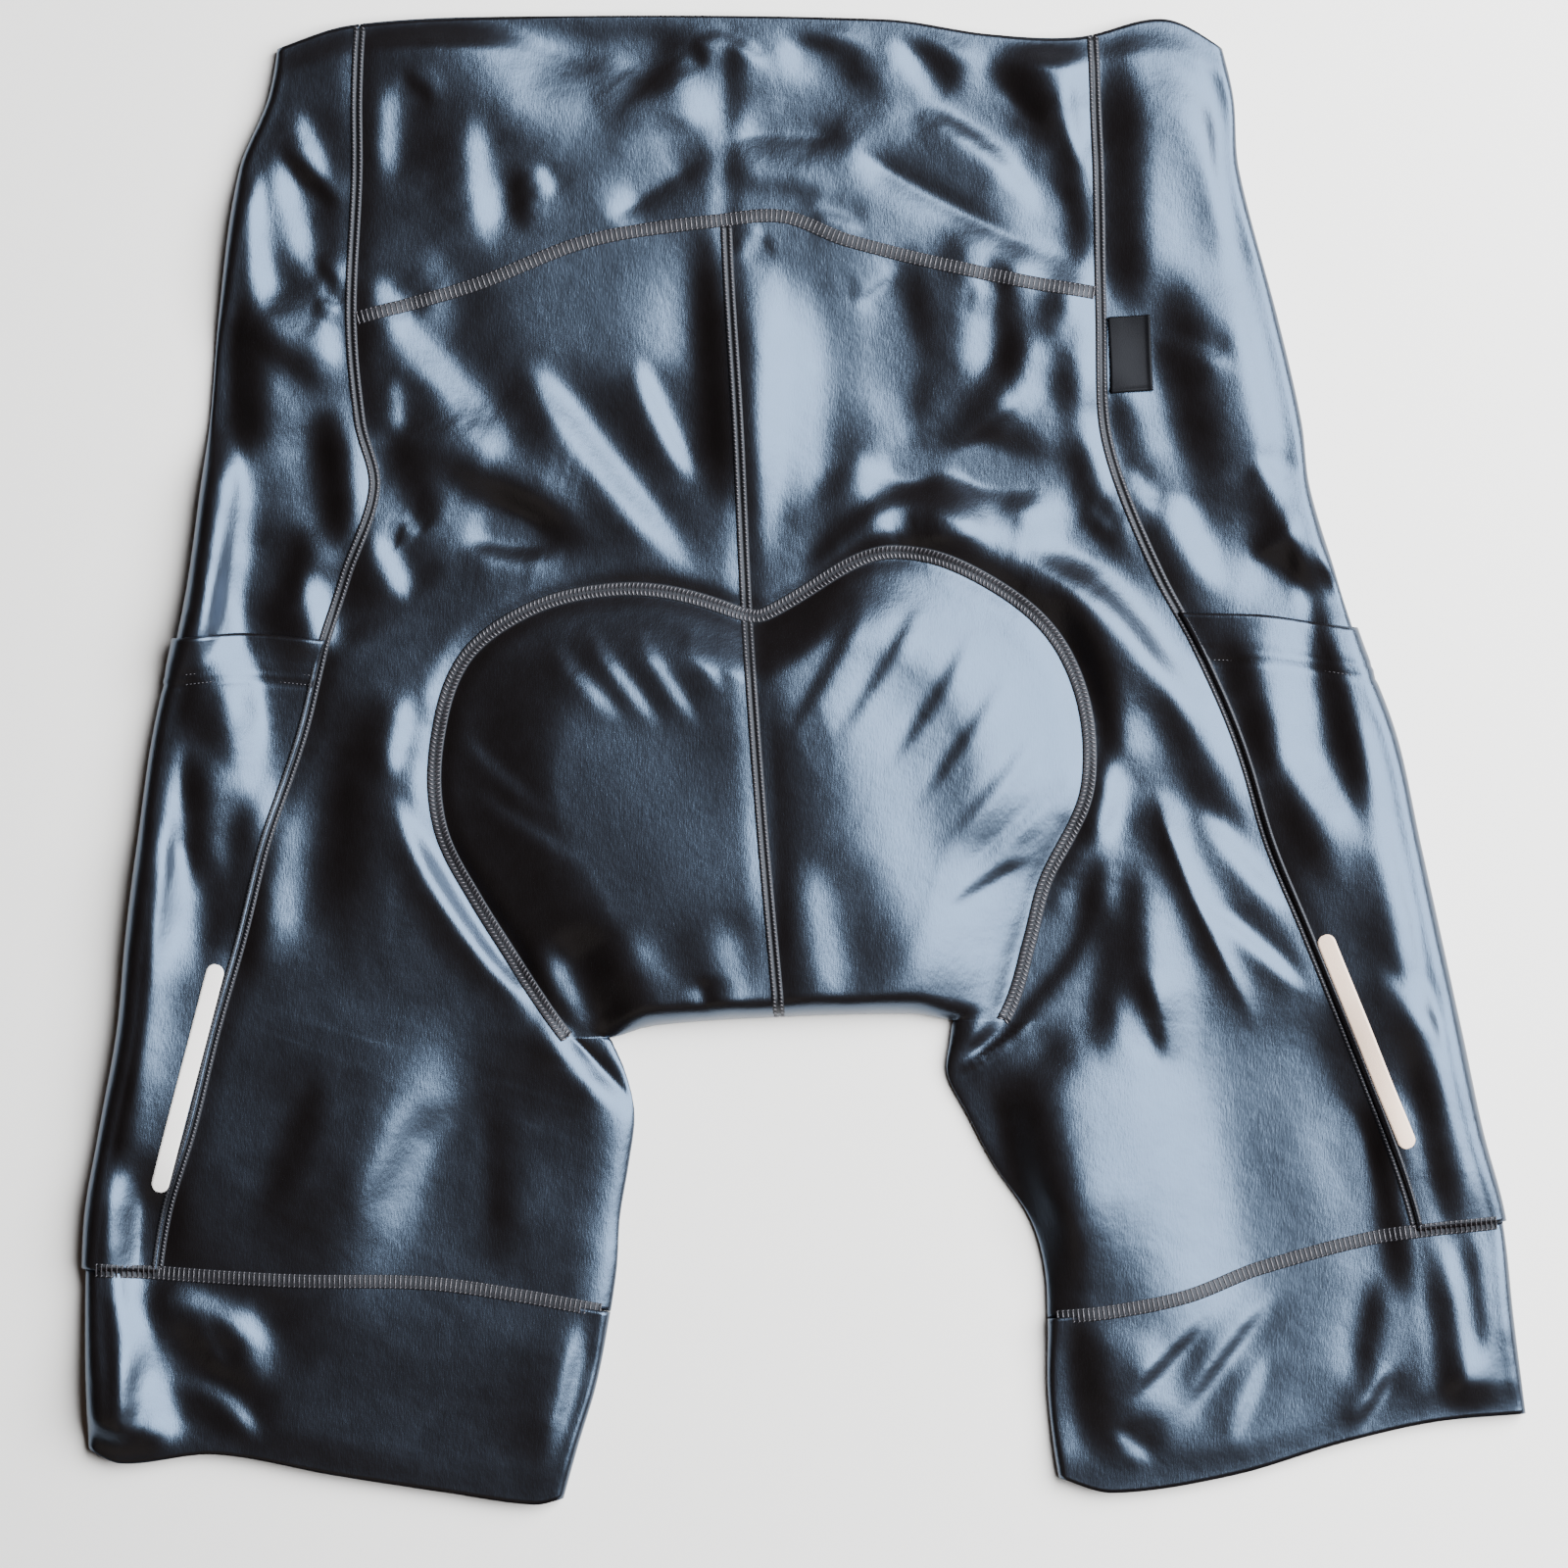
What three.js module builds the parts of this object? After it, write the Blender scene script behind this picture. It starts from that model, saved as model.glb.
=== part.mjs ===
// Padded shorts of satin knit, laid flat on their front with the back side up.
// Millimetres. +X is to the right, +Y to the waist, +Z up; the underside lies at z = 0.
import * as THREE from 'three';
import { mergeVertices } from 'three/addons/utils/BufferGeometryUtils.js';

// Cloth and making
const WALL = 1.0; // one layer of knit
const DOUBLED = 1.5; // cloth turned double: waistbands and leg bands
const SEAM_GAP = 0.3; // between two pieces at a seam, and between two layers
const REST_HEIGHT = 6.2; // top face where the two layers lie smooth
const WAIST_HEIGHT = 3.6; // top face at the waist edge
const HEM_HEIGHT = 4.6; // top face at the leg hem
const LOWEST = 3.3; // no trough goes lower than this
const WAIST_FADE = 22; // length over which the layers close towards the waist edge
const HEM_FADE = 16; // and towards the hem
const FOLD_ROUND = 8; // rounding at the seat's lower fold and the inner legs
const FOLD_FOOT = 2.2; // top layer's lowest edge there
const ROLL_LOOK = 4; // where a side fold takes its height, in from the fold
const ROLL_ANGLES = [90, 45, 0, -45, -90]; // round a side fold, over and under

// Seat pad
const PAD_X = -14;
const PAD_Y = -15;
const PAD_RISE = 8.5; // how far the pad lifts the seat
const PAD_SHOULDER = 0.72; // share of the reach where the pad starts to thin
const PAD_GROOVE = 1.6; // depth of the stitched-down line
const PAD_GROOVE_WIDTH = 5;
const PAD_EDGE = 7; // foam ends this far inside the stitched line
const PAD_CLEAR = 1.7; // between the foam and the cloth above it
const PAD_SEGMENTS = 28;
const PAD_SEAT_CLEAR = 12; // foam ends this far above the seat's lower fold

// Pockets, strips and label
const POCKET_AJAR = 1.8; // how far a pocket mouth stands off
const POCKET_AJAR_REACH = 24;
const POCKET_STEP = 14; // length over which the cloth under a pocket steps up
const STRIP_WIDTH = 6;
const STRIP_THICK = 0.6;
const STRIP_CLEAR = 0.5;
const STRIP_TIP = [0.15, 1.2]; // stations that round off a strip's end
const STRIP_STEPS = 7;
const LABEL_THICK = 1.2;
const LABEL_CLEAR = 0.5;

// Grid steps
// Of a back panel: long seam to the inner leg, its rounding, and on to the middle seam
const BACK_COLUMNS = [10, 2, 5];
const FRONT_COLUMNS = [3, 1, 2]; // the same three stretches of a front panel
const SIDE_COLUMNS = [0, 0.3, 0.6, 0.85]; // shares of a side panel's flat width
const UNDER_COLUMNS = [0.5, 0]; // the same shares underneath
const BAND_COLUMNS = 10; // across the top of a leg band
const FOLD_STEPS = 8; // pieces of the line along a fold
const WAIST_ROWS = 6;
const HIP_ROWS = 8; // yoke seam to pocket mouth
const SEAT_ROWS = 8; // pocket mouth to the seat's lower fold
const SEAT_FOLD_ROWS = 3;
const LEG_ROWS = 7;
const BAND_ROWS = 4;
const POCKET_LEVEL = 0.445; // share of the seat's length at the pocket mouth
const SEAT_FOLD_LEVEL = 0.955;
const SOLVE_STEPS = 8;
const MERGE = 1e-4;
const LATHE_MERGE = 1e-3;

// Shape of a fold's end
const FOLD_END = 0.25; // share of its length over which it rises
const FOLD_END_RISE = 0.25; // share of its rise that is left at its very end

// Landmarks
const CROTCH_Y = -86;
const LEG_TOP_Y = -120; // below this the cloth closes towards the hem
const BAND_TOP_GUESS = -175;
const BAND_END_GUESS = -240;

// A table with named columns
const table = (columns, rows) =>
  rows.map((row) => Object.fromEntries(columns.map((name, i) => [name, row[i]])));

// Sections across the garment, waist to leg band: side folds and long seams at each height
const SECTIONS = table(['y', 'leftFold', 'leftSeam', 'rightSeam', 'rightFold'], [
  [250, -178, -151, 97, 139],
  [225, -182, -152, 98, 145],
  [200, -192, -152, 99, 147],
  [150, -199, -154, 100, 160],
  [115, -202, -151, 101, 168],
  [92, -205, -146, 107, 171],
  [62, -209, -156, 120, 180],
  [40, -213, -163, 132, 187],
  [8, -220, -171, 146, 199],
  [-28, -225, -183, 157, 207],
  [-60, -229, -191, 170, 214],
  [-92, -232, -200, 183, 221],
  [-125, -238, -208, 196, 228],
  [-155, -243, -217, 206, 236],
  [-190, -244, -222, 212, 240],
  [-235, -243, -228, 218, 246],
]);

// Inner edge of each leg
const LEGS = table(['y', 'leftInner', 'rightInner'], [
  [-86, -68, 50],
  [-94, -66, 49],
  [-106, -61, 48],
  [-120, -58, 55],
  [-137, -60, 64],
  [-155, -63, 76],
  [-172, -64, 81],
  [-192, -67, 82],
  [-212, -71, 82],
  [-232, -77, 84],
  [-250, -82, 87],
]);

// Middle seam of the seat, waist side to crotch
const MIDDLE = table(['y', 'x'], [
  [252, -27],
  [183, -27],
  [112, -23],
  [49, -20],
  [-20, -15],
  [-86, -9],
]);

// Waist edge, yoke seam and the seat's lower fold, from left to right
const WAIST = table(['x', 'y'], [
  [-182, 240], [-154, 249], [-95, 252], [27, 251], [62, 246], [92, 245], [122, 251], [145, 239],
]);
const YOKE = table(['x', 'y'], [
  [-154, 149], [-112, 161], [-73, 176], [-27, 183], [-7, 184], [14, 176], [69, 163], [100, 158],
]);
const FRONT_YOKE = table(['x', 'y'], [
  [-154, 149], [-27, 140], [100, 158],
]);
const SEAT_FOLD = table(['x', 'y'], [
  [-200, -96], [-67, -94], [-52, -90], [-9, -87], [37, -86], [50, -88], [183, -92],
]);

// Leg band seam and hem of each leg
const LEFT_BAND = table(['x', 'y'], [
  [-244, -172], [-178, -176], [-129, -177], [-98, -181], [-65, -187],
]);
const RIGHT_BAND = table(['x', 'y'], [
  [81, -189], [106, -186], [130, -181], [154, -172], [196, -161], [237, -156],
]);
const LEFT_HEM = table(['x', 'y'], [
  [-245, -232], [-232, -238], [-200, -235], [-160, -242], [-121, -248], [-92, -252], [-82, -250],
]);
const RIGHT_HEM = table(['x', 'y'], [
  [86, -243], [104, -248], [145, -242], [182, -231], [213, -224], [246, -221],
]);

// Pocket mouths
const LEFT_MOUTH = table(['x', 'y'], [
  [-213, 41], [-190, 43], [-164, 41],
]);
const RIGHT_MOUTH = table(['x', 'y'], [
  [133, 50], [156, 49], [188, 44],
]);

// The pad's stitched outline: its reach at each angle round the pad's centre, in degrees
const PAD_OUTLINE = table(['angle', 'reach'], [
  [-70, 118], [-42, 109], [-27, 101], [-14, 99], [4, 110], [27, 114], [45, 107], [64, 95],
  [78, 75], [86, 67], [93, 64], [104, 70], [125, 89], [141, 104], [154, 113], [168, 113],
  [184, 110], [198, 103], [210, 100], [222, 101], [250, 110],
]);

// Folds of the upper layer: start, middle and end of each, how far it rises, half its width
const FOLDS = table(['x0', 'y0', 'x1', 'y1', 'x2', 'y2', 'rise', 'width'], [
  // Above the pad, left
  [-97, 138, -60, 90, -27, 56, 4.5, 8],
  [-57, 141, -40, 108, -29, 78, 2.5, 7],
  [-130, 98, -95, 80, -60, 62, -2.5, 8],
  [-158, 53, -115, 71, -77, 68, 3.5, 9],
  // Above the pad, right
  [-4, 171, -1, 125, -12, 58, 3.0, 12],
  [42, 165, 46, 125, 36, 95, -2.0, 10],
  [26, 78, 59, 85, 86, 88, 3.5, 8],
  [59, 73, 108, 55, 140, -5, 3.0, 8],
  [69, 62, 112, -1, 159, -101, 4.0, 8],
  [118, -11, 138, -27, 169, -71, 2.5, 7],
  // Thigh folds beside the pad
  [-132, 29, -143, -5, -130, -25, 3.5, 8],
  [-135, -15, -105, -63, -60, -116, 7.0, 9],
  [104, 0, 103, -20, 98, -42, 3.0, 9],
  [99, -18, 87, -65, 49, -106, 5.5, 9],
  // Legs
  [-133, -88, -130, -114, -163, -167, 3.0, 13],
  [-72, -120, -74, -150, -78, -185, 2.5, 9],
  [126, -51, 112, -110, 125, -172, 6.0, 26],
  [162, -90, 160, -125, 152, -165, 3.0, 20],
  [64, -96, 72, -135, 88, -185, -3.5, 12],
  // Leg bands
  [109, -220, 140, -198, 169, -177, 2.0, 8],
  [189, -224, 205, -205, 218, -184, 2.0, 8],
  [-233, -187, -206, -204, -182, -235, 2.0, 8],
  // Waistband
  [-130, 208, -119, 191, -107, 175, 1.5, 8],
  [-84, 178, -40, 203, 9, 205, 2.5, 8],
  [9, 205, 42, 188, 92, 165, 2.0, 8],
  [16, 238, 46, 221, 94, 176, 2.0, 8],
  // Side panels and pockets
  [-187, 211, -172, 198, -157, 185, 2.0, 8],
  [-198, 155, -178, 140, -157, 125, -2.2, 9],
  [-190, 110, -185, 85, -188, 50, 2.0, 12],
  [109, 238, 135, 208, 150, 171, 1.5, 8],
  [125, 210, 130, 180, 133, 145, -2.0, 12],
  [122, 92, 137, 72, 149, 52, 1.5, 8],
  [155, 25, 178, 0, 202, -25, 1.8, 9],
]);

// Strips: middle line of each, upper end to lower end. Label: upper left corner and sides
const STRIPS = table(['name', 'x0', 'y0', 'x1', 'y1', 'sheen'], [
  ['strip_left', -199, -69, -219, -146, 0xe6e4e2],
  ['strip_right', 175, -59, 204, -131, 0xe6c9b4],
]);
const LABEL = { x: 104, y: 150, width: 13, length: 26, lean: 1 };

const lerp = (a, b, t) => a + (b - a) * t;
const clamp01 = (t) => Math.min(Math.max(t, 0), 1);
const smooth = (t) => clamp01(t) ** 2 * (3 - 2 * clamp01(t));

// A smooth curve through a table's rows: a cubic between rows, a straight line past the ends
function curveThrough(rows, along, value) {
  const knots = rows.map((row) => [row[along], row[value]]).sort((a, b) => a[0] - b[0]);
  const slopes = knots.map((_, i) => {
    const before = knots[Math.max(i - 1, 0)];
    const after = knots[Math.min(i + 1, knots.length - 1)];
    return (after[1] - before[1]) / (after[0] - before[0]);
  });
  const last = knots.length - 1;
  return (at) => {
    if (at <= knots[0][0]) return knots[0][1] + slopes[0] * (at - knots[0][0]);
    if (at >= knots[last][0]) return knots[last][1] + slopes[last] * (at - knots[last][0]);
    const i = knots.findIndex((knot) => knot[0] > at) - 1;
    const span = knots[i + 1][0] - knots[i][0];
    const t = (at - knots[i][0]) / span;
    const rest = 1 - t;
    return knots[i][1] * (1 + 2 * t) * rest * rest + slopes[i] * span * t * rest * rest
      + knots[i + 1][1] * t * t * (3 - 2 * t) - slopes[i + 1] * span * t * t * rest;
  };
}

const leftFold = curveThrough(SECTIONS, 'y', 'leftFold');
const leftSeam = curveThrough(SECTIONS, 'y', 'leftSeam');
const rightSeam = curveThrough(SECTIONS, 'y', 'rightSeam');
const rightFold = curveThrough(SECTIONS, 'y', 'rightFold');
const leftInner = curveThrough(LEGS, 'y', 'leftInner');
const rightInner = curveThrough(LEGS, 'y', 'rightInner');
const middle = curveThrough(MIDDLE, 'y', 'x');
const waist = curveThrough(WAIST, 'x', 'y');
const yoke = curveThrough(YOKE, 'x', 'y');
const frontYoke = curveThrough(FRONT_YOKE, 'x', 'y');
const seatFold = curveThrough(SEAT_FOLD, 'x', 'y');
const padReach = curveThrough(PAD_OUTLINE, 'angle', 'reach');

// What differs between the two sides of the garment
const SIDES = {
  left: {
    fold: leftFold, seam: leftSeam, inner: leftInner, outward: -1,
    band: curveThrough(LEFT_BAND, 'x', 'y'),
    hem: curveThrough(LEFT_HEM, 'x', 'y'),
    mouth: curveThrough(LEFT_MOUTH, 'x', 'y'),
    crotch: [-67, -94],
  },
  right: {
    fold: rightFold, seam: rightSeam, inner: rightInner, outward: 1,
    band: curveThrough(RIGHT_BAND, 'x', 'y'),
    hem: curveThrough(RIGHT_HEM, 'x', 'y'),
    mouth: curveThrough(RIGHT_MOUTH, 'x', 'y'),
    crotch: [50, -88],
  },
};

// A fold's points, on the curve through its start, middle and end
const foldLines = FOLDS.map((fold) => {
  const line = new THREE.SplineCurve([
    new THREE.Vector2(fold.x0, fold.y0),
    new THREE.Vector2(fold.x1, fold.y1),
    new THREE.Vector2(fold.x2, fold.y2),
  ]).getPoints(FOLD_STEPS);
  return { ...fold, line };
});

// Rise of one fold at a point: a bell across it, fading towards both ends
function foldRise(fold, x, y) {
  let nearest = Infinity;
  let share = 0;
  for (let i = 0; i < fold.line.length - 1; i += 1) {
    const a = fold.line[i];
    const b = fold.line[i + 1];
    const dx = b.x - a.x;
    const dy = b.y - a.y;
    const t = clamp01(((x - a.x) * dx + (y - a.y) * dy) / (dx * dx + dy * dy));
    const away = Math.hypot(x - a.x - dx * t, y - a.y - dy * t);
    if (away < nearest) {
      nearest = away;
      share = (i + t) / (fold.line.length - 1);
    }
  }
  const along = smooth(share / FOLD_END) * smooth((1 - share) / FOLD_END);
  return fold.rise * lerp(FOLD_END_RISE, 1, along) * Math.exp(-((nearest / fold.width) ** 2));
}

// The pad's rise: full over its middle, thinning to the stitched line, which is drawn down
function padRise(x, y) {
  const away = Math.hypot(x - PAD_X, y - PAD_Y);
  const turned = THREE.MathUtils.radToDeg(Math.atan2(y - PAD_Y, x - PAD_X));
  const reach = padReach(turned < -90 ? turned + 360 : turned);
  const share = away / reach;
  const body = PAD_RISE * (1 - smooth((share - PAD_SHOULDER) / (1 - PAD_SHOULDER)));
  const groove = PAD_GROOVE * Math.exp(-(((away - reach) / PAD_GROOVE_WIDTH) ** 2));
  return body - groove;
}

// Height of the upper layer's outer face over the plan
function height(x, y) {
  const side = x < middle(Math.max(y, CROTCH_Y)) ? SIDES.left : SIDES.right;
  let z = REST_HEIGHT + padRise(x, y);
  for (const fold of foldLines) z += foldRise(fold, x, y);
  z = lerp(WAIST_HEIGHT, z, smooth((waist(x) - y) / WAIST_FADE));
  if (y < LEG_TOP_Y) z = lerp(HEM_HEIGHT, z, smooth((y - side.hem(x)) / HEM_FADE));
  return Math.max(z, LOWEST);
}

// How far a point is inside the seat's lower fold and the inner leg
function insideFold(side, x, y) {
  const [crotchX, crotchY] = side.crotch;
  if ((x - crotchX) * side.outward < 0) return y - seatFold(x);
  if (y < crotchY) return (x - side.inner(y)) * side.outward;
  return Math.hypot(x - crotchX, y - crotchY);
}

// Height of a back panel: the upper layer's, rounded down at the folds
function backHeight(side, x, y) {
  const inside = clamp01(insideFold(side, x, y) / FOLD_ROUND);
  return lerp(FOLD_FOOT, height(x, y), Math.sqrt(1 - (1 - inside) ** 2));
}

// A plan point between two edges x(y) and two edges y(x), by its shares across and down
function planPoint(edges, across, down, guess) {
  let y = guess;
  let x = 0;
  for (let i = 0; i < SOLVE_STEPS; i += 1) {
    x = lerp(edges.from(y), edges.to(y), across);
    y = lerp(edges.top(x), edges.bottom(x), down);
  }
  return [x, y];
}

// Where a long seam meets a row that is a share of the way from one edge to another
function levelAt(seam, top, bottom, share) {
  let y = lerp(top(seam(0)), bottom(seam(0)), share);
  for (let i = 0; i < SOLVE_STEPS; i += 1) y = lerp(top(seam(y)), bottom(seam(y)), share);
  return y;
}

const shares = (from, to, steps) =>
  Array.from({ length: steps }, (_, i) => lerp(from, to, (i + 1) / steps));
const WAIST_SHARES = [0, ...shares(0, 1, WAIST_ROWS)];
const SEAT_SHARES = [
  0,
  ...shares(0, POCKET_LEVEL, HIP_ROWS),
  ...shares(POCKET_LEVEL, SEAT_FOLD_LEVEL, SEAT_ROWS),
  ...shares(SEAT_FOLD_LEVEL, 1, SEAT_FOLD_ROWS),
];
const LEG_SHARES = [0, ...shares(0, 1, LEG_ROWS)];
const MOUTH_ROW = WAIST_ROWS + HIP_ROWS;

// Heights at which the rows of a side meet its long seam
function seamLevels(side) {
  const over = WAIST_SHARES.slice(0, -1).map((s) => levelAt(side.seam, waist, yoke, s));
  const seat = SEAT_SHARES.slice(0, -1).map((s) => levelAt(side.seam, yoke, seatFold, s));
  const leg = LEG_SHARES.map((s) => levelAt(side.seam, seatFold, side.band, s));
  return [...over, ...seat, ...leg];
}

// A cloth wall: two faces at given distances from a grid of points, along its own normals,
// closed round every edge. Cells that `present` refuses are left out; `ring` joins the last
// column to the first.
function clothWall(grid, outer, inner, { present = () => true, ring = false } = {}) {
  const rows = grid.length;
  const columns = grid[0].length;
  const cellColumns = ring ? columns : columns - 1;
  const at = (i, j) => grid[i][j % columns];
  const has = (i, j) => {
    const column = ring ? (j + columns) % columns : j;
    return i >= 0 && i < rows - 1 && column >= 0 && column < cellColumns && present(i, column);
  };
  const normals = grid.map((row) => row.map(() => new THREE.Vector3()));
  for (let i = 0; i < rows - 1; i += 1) {
    for (let j = 0; j < cellColumns; j += 1) {
      if (!has(i, j)) continue;
      const across = new THREE.Vector3().subVectors(at(i + 1, j + 1), at(i, j));
      const back = new THREE.Vector3().subVectors(at(i + 1, j), at(i, j + 1));
      const normal = new THREE.Vector3().crossVectors(back, across);
      for (const [r, c] of [[i, j], [i + 1, j], [i + 1, j + 1], [i, j + 1]]) {
        normals[r][c % columns].add(normal);
      }
    }
  }
  const turned = normals[1][1].z < 0;
  const positions = [];
  const place = (distance) => grid.forEach((row, i) => row.forEach((point, j) => {
    const normal = normals[i][j].clone().normalize().multiplyScalar(turned ? -1 : 1);
    const moved = point.clone().addScaledVector(normal, distance);
    positions.push(moved.x, moved.y, Math.max(moved.z, 0));
  }));
  place(outer);
  place(inner);
  const layer = rows * columns;
  const index = [];
  const quad = (a, b, c, d) => (turned ? index.push(a, c, b, a, d, c) : index.push(a, b, c, a, c, d));
  const id = (i, j) => i * columns + (j % columns);
  for (let i = 0; i < rows - 1; i += 1) {
    for (let j = 0; j < cellColumns; j += 1) {
      if (!has(i, j)) continue;
      const [a, b, c, d] = [id(i, j), id(i + 1, j), id(i + 1, j + 1), id(i, j + 1)];
      quad(a, b, c, d);
      quad(a + layer, d + layer, c + layer, b + layer);
      if (!has(i, j - 1)) quad(a, a + layer, b + layer, b);
      if (!has(i + 1, j)) quad(b, b + layer, c + layer, c);
      if (!has(i, j + 1)) quad(c, c + layer, d + layer, d);
      if (!has(i - 1, j)) quad(d, d + layer, a + layer, a);
    }
  }
  const geometry = new THREE.BufferGeometry();
  geometry.setAttribute('position', new THREE.Float32BufferAttribute(positions, 3));
  geometry.setIndex(index);
  return geometry;
}

const shorts = new THREE.Group();
shorts.name = 'padded_shorts';

// Adds one named piece with its own finish
function piece(name, geometry, color, roughness, metalness = 0) {
  geometry.deleteAttribute('normal');
  geometry.deleteAttribute('uv');
  const closed = mergeVertices(geometry.toNonIndexed(), MERGE);
  closed.computeVertexNormals();
  const material = new THREE.MeshStandardMaterial({ color, roughness, metalness });
  material.name = name;
  const mesh = new THREE.Mesh(closed, material);
  mesh.name = name;
  shorts.add(mesh);
  return mesh;
}

const SATIN = [0x3b3b40, 0.42];
const half = SEAM_GAP / 2;
const shifted = (edge, by) => (at) => edge(at) + by;

// Columns of a panel, as shares from its long seam to the middle seam
function panelColumns(side, [outer, fold, seat]) {
  const [crotchX, crotchY] = side.crotch;
  const reach = Math.abs(middle(CROTCH_Y) - side.seam(crotchY));
  const crotchShare = Math.abs(crotchX - side.seam(crotchY)) / reach;
  const foldShare = crotchShare - FOLD_ROUND / reach;
  const legShares = [0, ...shares(0, foldShare, outer), ...shares(foldShare, crotchShare, fold)];
  return {
    seat: [...legShares, ...shares(crotchShare, 1, seat)],
    leg: legShares.map((share) => share / crotchShare),
  };
}

// The share of the way down a panel at which a row leaves its long seam
function shareDown(side, level, top, bottom) {
  const seamX = side.seam(level);
  return (top(seamX) - level) / (top(seamX) - bottom(seamX));
}

// The plan of a whole panel: seat rows over the full width, leg rows up to the inner leg
function panelPlan(side, columns, top, bottom) {
  const toSeam = side.outward * half;
  const seatEdges = {
    from: shifted(side.seam, -toSeam),
    to: shifted(middle, toSeam),
    top: shifted(top, -half),
    bottom: seatFold,
  };
  const legEdges = {
    from: shifted(side.seam, -toSeam),
    to: side.inner,
    top: seatFold,
    bottom: shifted(bottom, half),
  };
  const levels = seamLevels(side).slice(WAIST_ROWS);
  const seatRows = levels.slice(0, SEAT_SHARES.length).map((level) => {
    const down = shareDown(side, level, top, seatFold);
    return columns.seat.map((across) => planPoint(seatEdges, across, down, level));
  });
  const legRows = levels.slice(SEAT_SHARES.length).map((level) => {
    const down = shareDown(side, level, seatFold, side.band);
    const row = columns.leg.map((across) => planPoint(legEdges, across, down, level));
    return columns.seat.map((_, j) => row[Math.min(j, row.length - 1)]);
  });
  const present = (i, j) => i < SEAT_SHARES.length - 1 || j < columns.leg.length - 1;
  return { rows: [...seatRows, ...legRows], present };
}

// A back panel, from the yoke seam over the seat and down its leg
function backPanel(name, side) {
  const { rows, present } = panelPlan(side, panelColumns(side, BACK_COLUMNS), yoke, side.band);
  const grid = rows.map((row) => row.map(([x, y]) =>
    new THREE.Vector3(x, y, backHeight(side, x, y))));
  piece(name, clothWall(grid, 0, -WALL, { present }), ...SATIN);
  return grid;
}

// The band seam underneath: it runs straight across the front panel
function bandUnder(side) {
  const seamLevel = levelAt(side.seam, seatFold, side.band, 1);
  const seamX = side.seam(seamLevel);
  const innerX = side.inner(side.band(side.inner(seamLevel)));
  const rise = (side.band(innerX) - side.band(seamX)) / (innerX - seamX);
  return (x) => ((x - seamX) * side.outward > 0 ? side.band(x) : side.band(seamX) + rise * (x - seamX));
}

// A front panel: the flat layer that lies on the surface
function frontPanel(name, side) {
  const { rows, present } = panelPlan(side, panelColumns(side, FRONT_COLUMNS), frontYoke, bandUnder(side));
  const grid = rows.map((row) => row.map(([x, y]) => new THREE.Vector3(x, y, WALL)));
  piece(name, clothWall(grid, 0, -WALL, { present }), ...SATIN);
}

// The waistband of one layer, between the two long seams
function waistband(name, lower, steps, wall, heightAt) {
  const columns = [
    ...steps.left.map((share) => ['left', share]),
    ...steps.right.slice(0, -1).reverse().map((share) => ['right', share]),
  ];
  const grid = WAIST_SHARES.map((_, i) => columns.map(([key, share]) => {
    const side = SIDES[key];
    const edges = {
      from: shifted(side.seam, -side.outward * half),
      to: middle,
      top: waist,
      bottom: shifted(lower, half),
    };
    const level = seamLevels(side)[i];
    const [x, y] = planPoint(edges, share, shareDown(side, level, waist, lower), level);
    return new THREE.Vector3(x, y, heightAt(x, y));
  }));
  piece(name, clothWall(grid, 0, -wall), ...SATIN);
}

// Points round a side fold: across the top from the long seam, round, and back underneath
function sideGrid(side) {
  const levels = seamLevels(side);
  const spans = [
    { top: waist, bottom: side.mouth, first: 0, last: MOUTH_ROW },
    { top: side.mouth, bottom: shifted(side.band, half), first: MOUTH_ROW, last: levels.length - 1 },
  ];
  return levels.map((level, i) => {
    const span = i <= MOUTH_ROW ? spans[0] : spans[1];
    const seamX = side.seam(level);
    const from = i <= MOUTH_ROW ? waist(seamX) : side.mouth(seamX);
    const to = i <= MOUTH_ROW ? side.mouth(seamX) : side.band(seamX);
    const down = (from - level) / (from - to);
    const edges = {
      from: shifted(side.seam, side.outward * half),
      to: side.fold,
      top: span.top,
      bottom: span.bottom,
    };
    const width = Math.abs(side.fold(level) - side.seam(level));
    const plan = (share) => planPoint(edges, share, down, level);
    const under = (x, y) =>
      (WALL + SEAM_GAP) * smooth(1 - (y - side.mouth(x) - 1) / POCKET_STEP);
    const [lookX, lookY] = plan(1 - ROLL_LOOK / width);
    const radius = (height(lookX, lookY) - under(lookX, lookY)) / 2;
    const rollStart = 1 - radius / width;
    const across = SIDE_COLUMNS.map((share) => share * rollStart);
    const point = ([x, y], z) => new THREE.Vector3(x, y, z);
    const over = across.map((share) => point(plan(share), height(...plan(share))));
    const base = under(lookX, lookY);
    const round = ROLL_ANGLES.map((angle) => {
      const turn = THREE.MathUtils.degToRad(angle);
      const share = rollStart + (1 - rollStart) * Math.cos(turn);
      return point(plan(share), base + radius + radius * Math.sin(turn));
    });
    const beneath = UNDER_COLUMNS.map((share) => {
      const [x, y] = plan(share * rollStart);
      return new THREE.Vector3(x, y, under(x, y));
    });
    return [...over, ...round, ...beneath];
  });
}

// A side panel and the patch pocket on it, made from the panel's own points moved out
function sideAndPocket(key, side) {
  const grid = sideGrid(side);
  piece(`side_${key}`, clothWall(grid, 0, -WALL), ...SATIN);
  const pocketRows = grid.slice(MOUTH_ROW);
  const lifted = pocketRows.map((row, i) => row.map((point, j) => {
    const below = side.mouth(point.x) - point.y;
    const open = POCKET_AJAR * Math.exp(-((below / POCKET_AJAR_REACH) ** 2));
    const middleOut = Math.sin(Math.PI * clamp01(j / SIDE_COLUMNS.length)) ** 2;
    return point.clone().setZ(point.z + open * middleOut);
  }));
  piece(`pocket_${key}`, clothWall(lifted, SEAM_GAP + WALL, SEAM_GAP), ...SATIN);
  return lifted;
}

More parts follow.
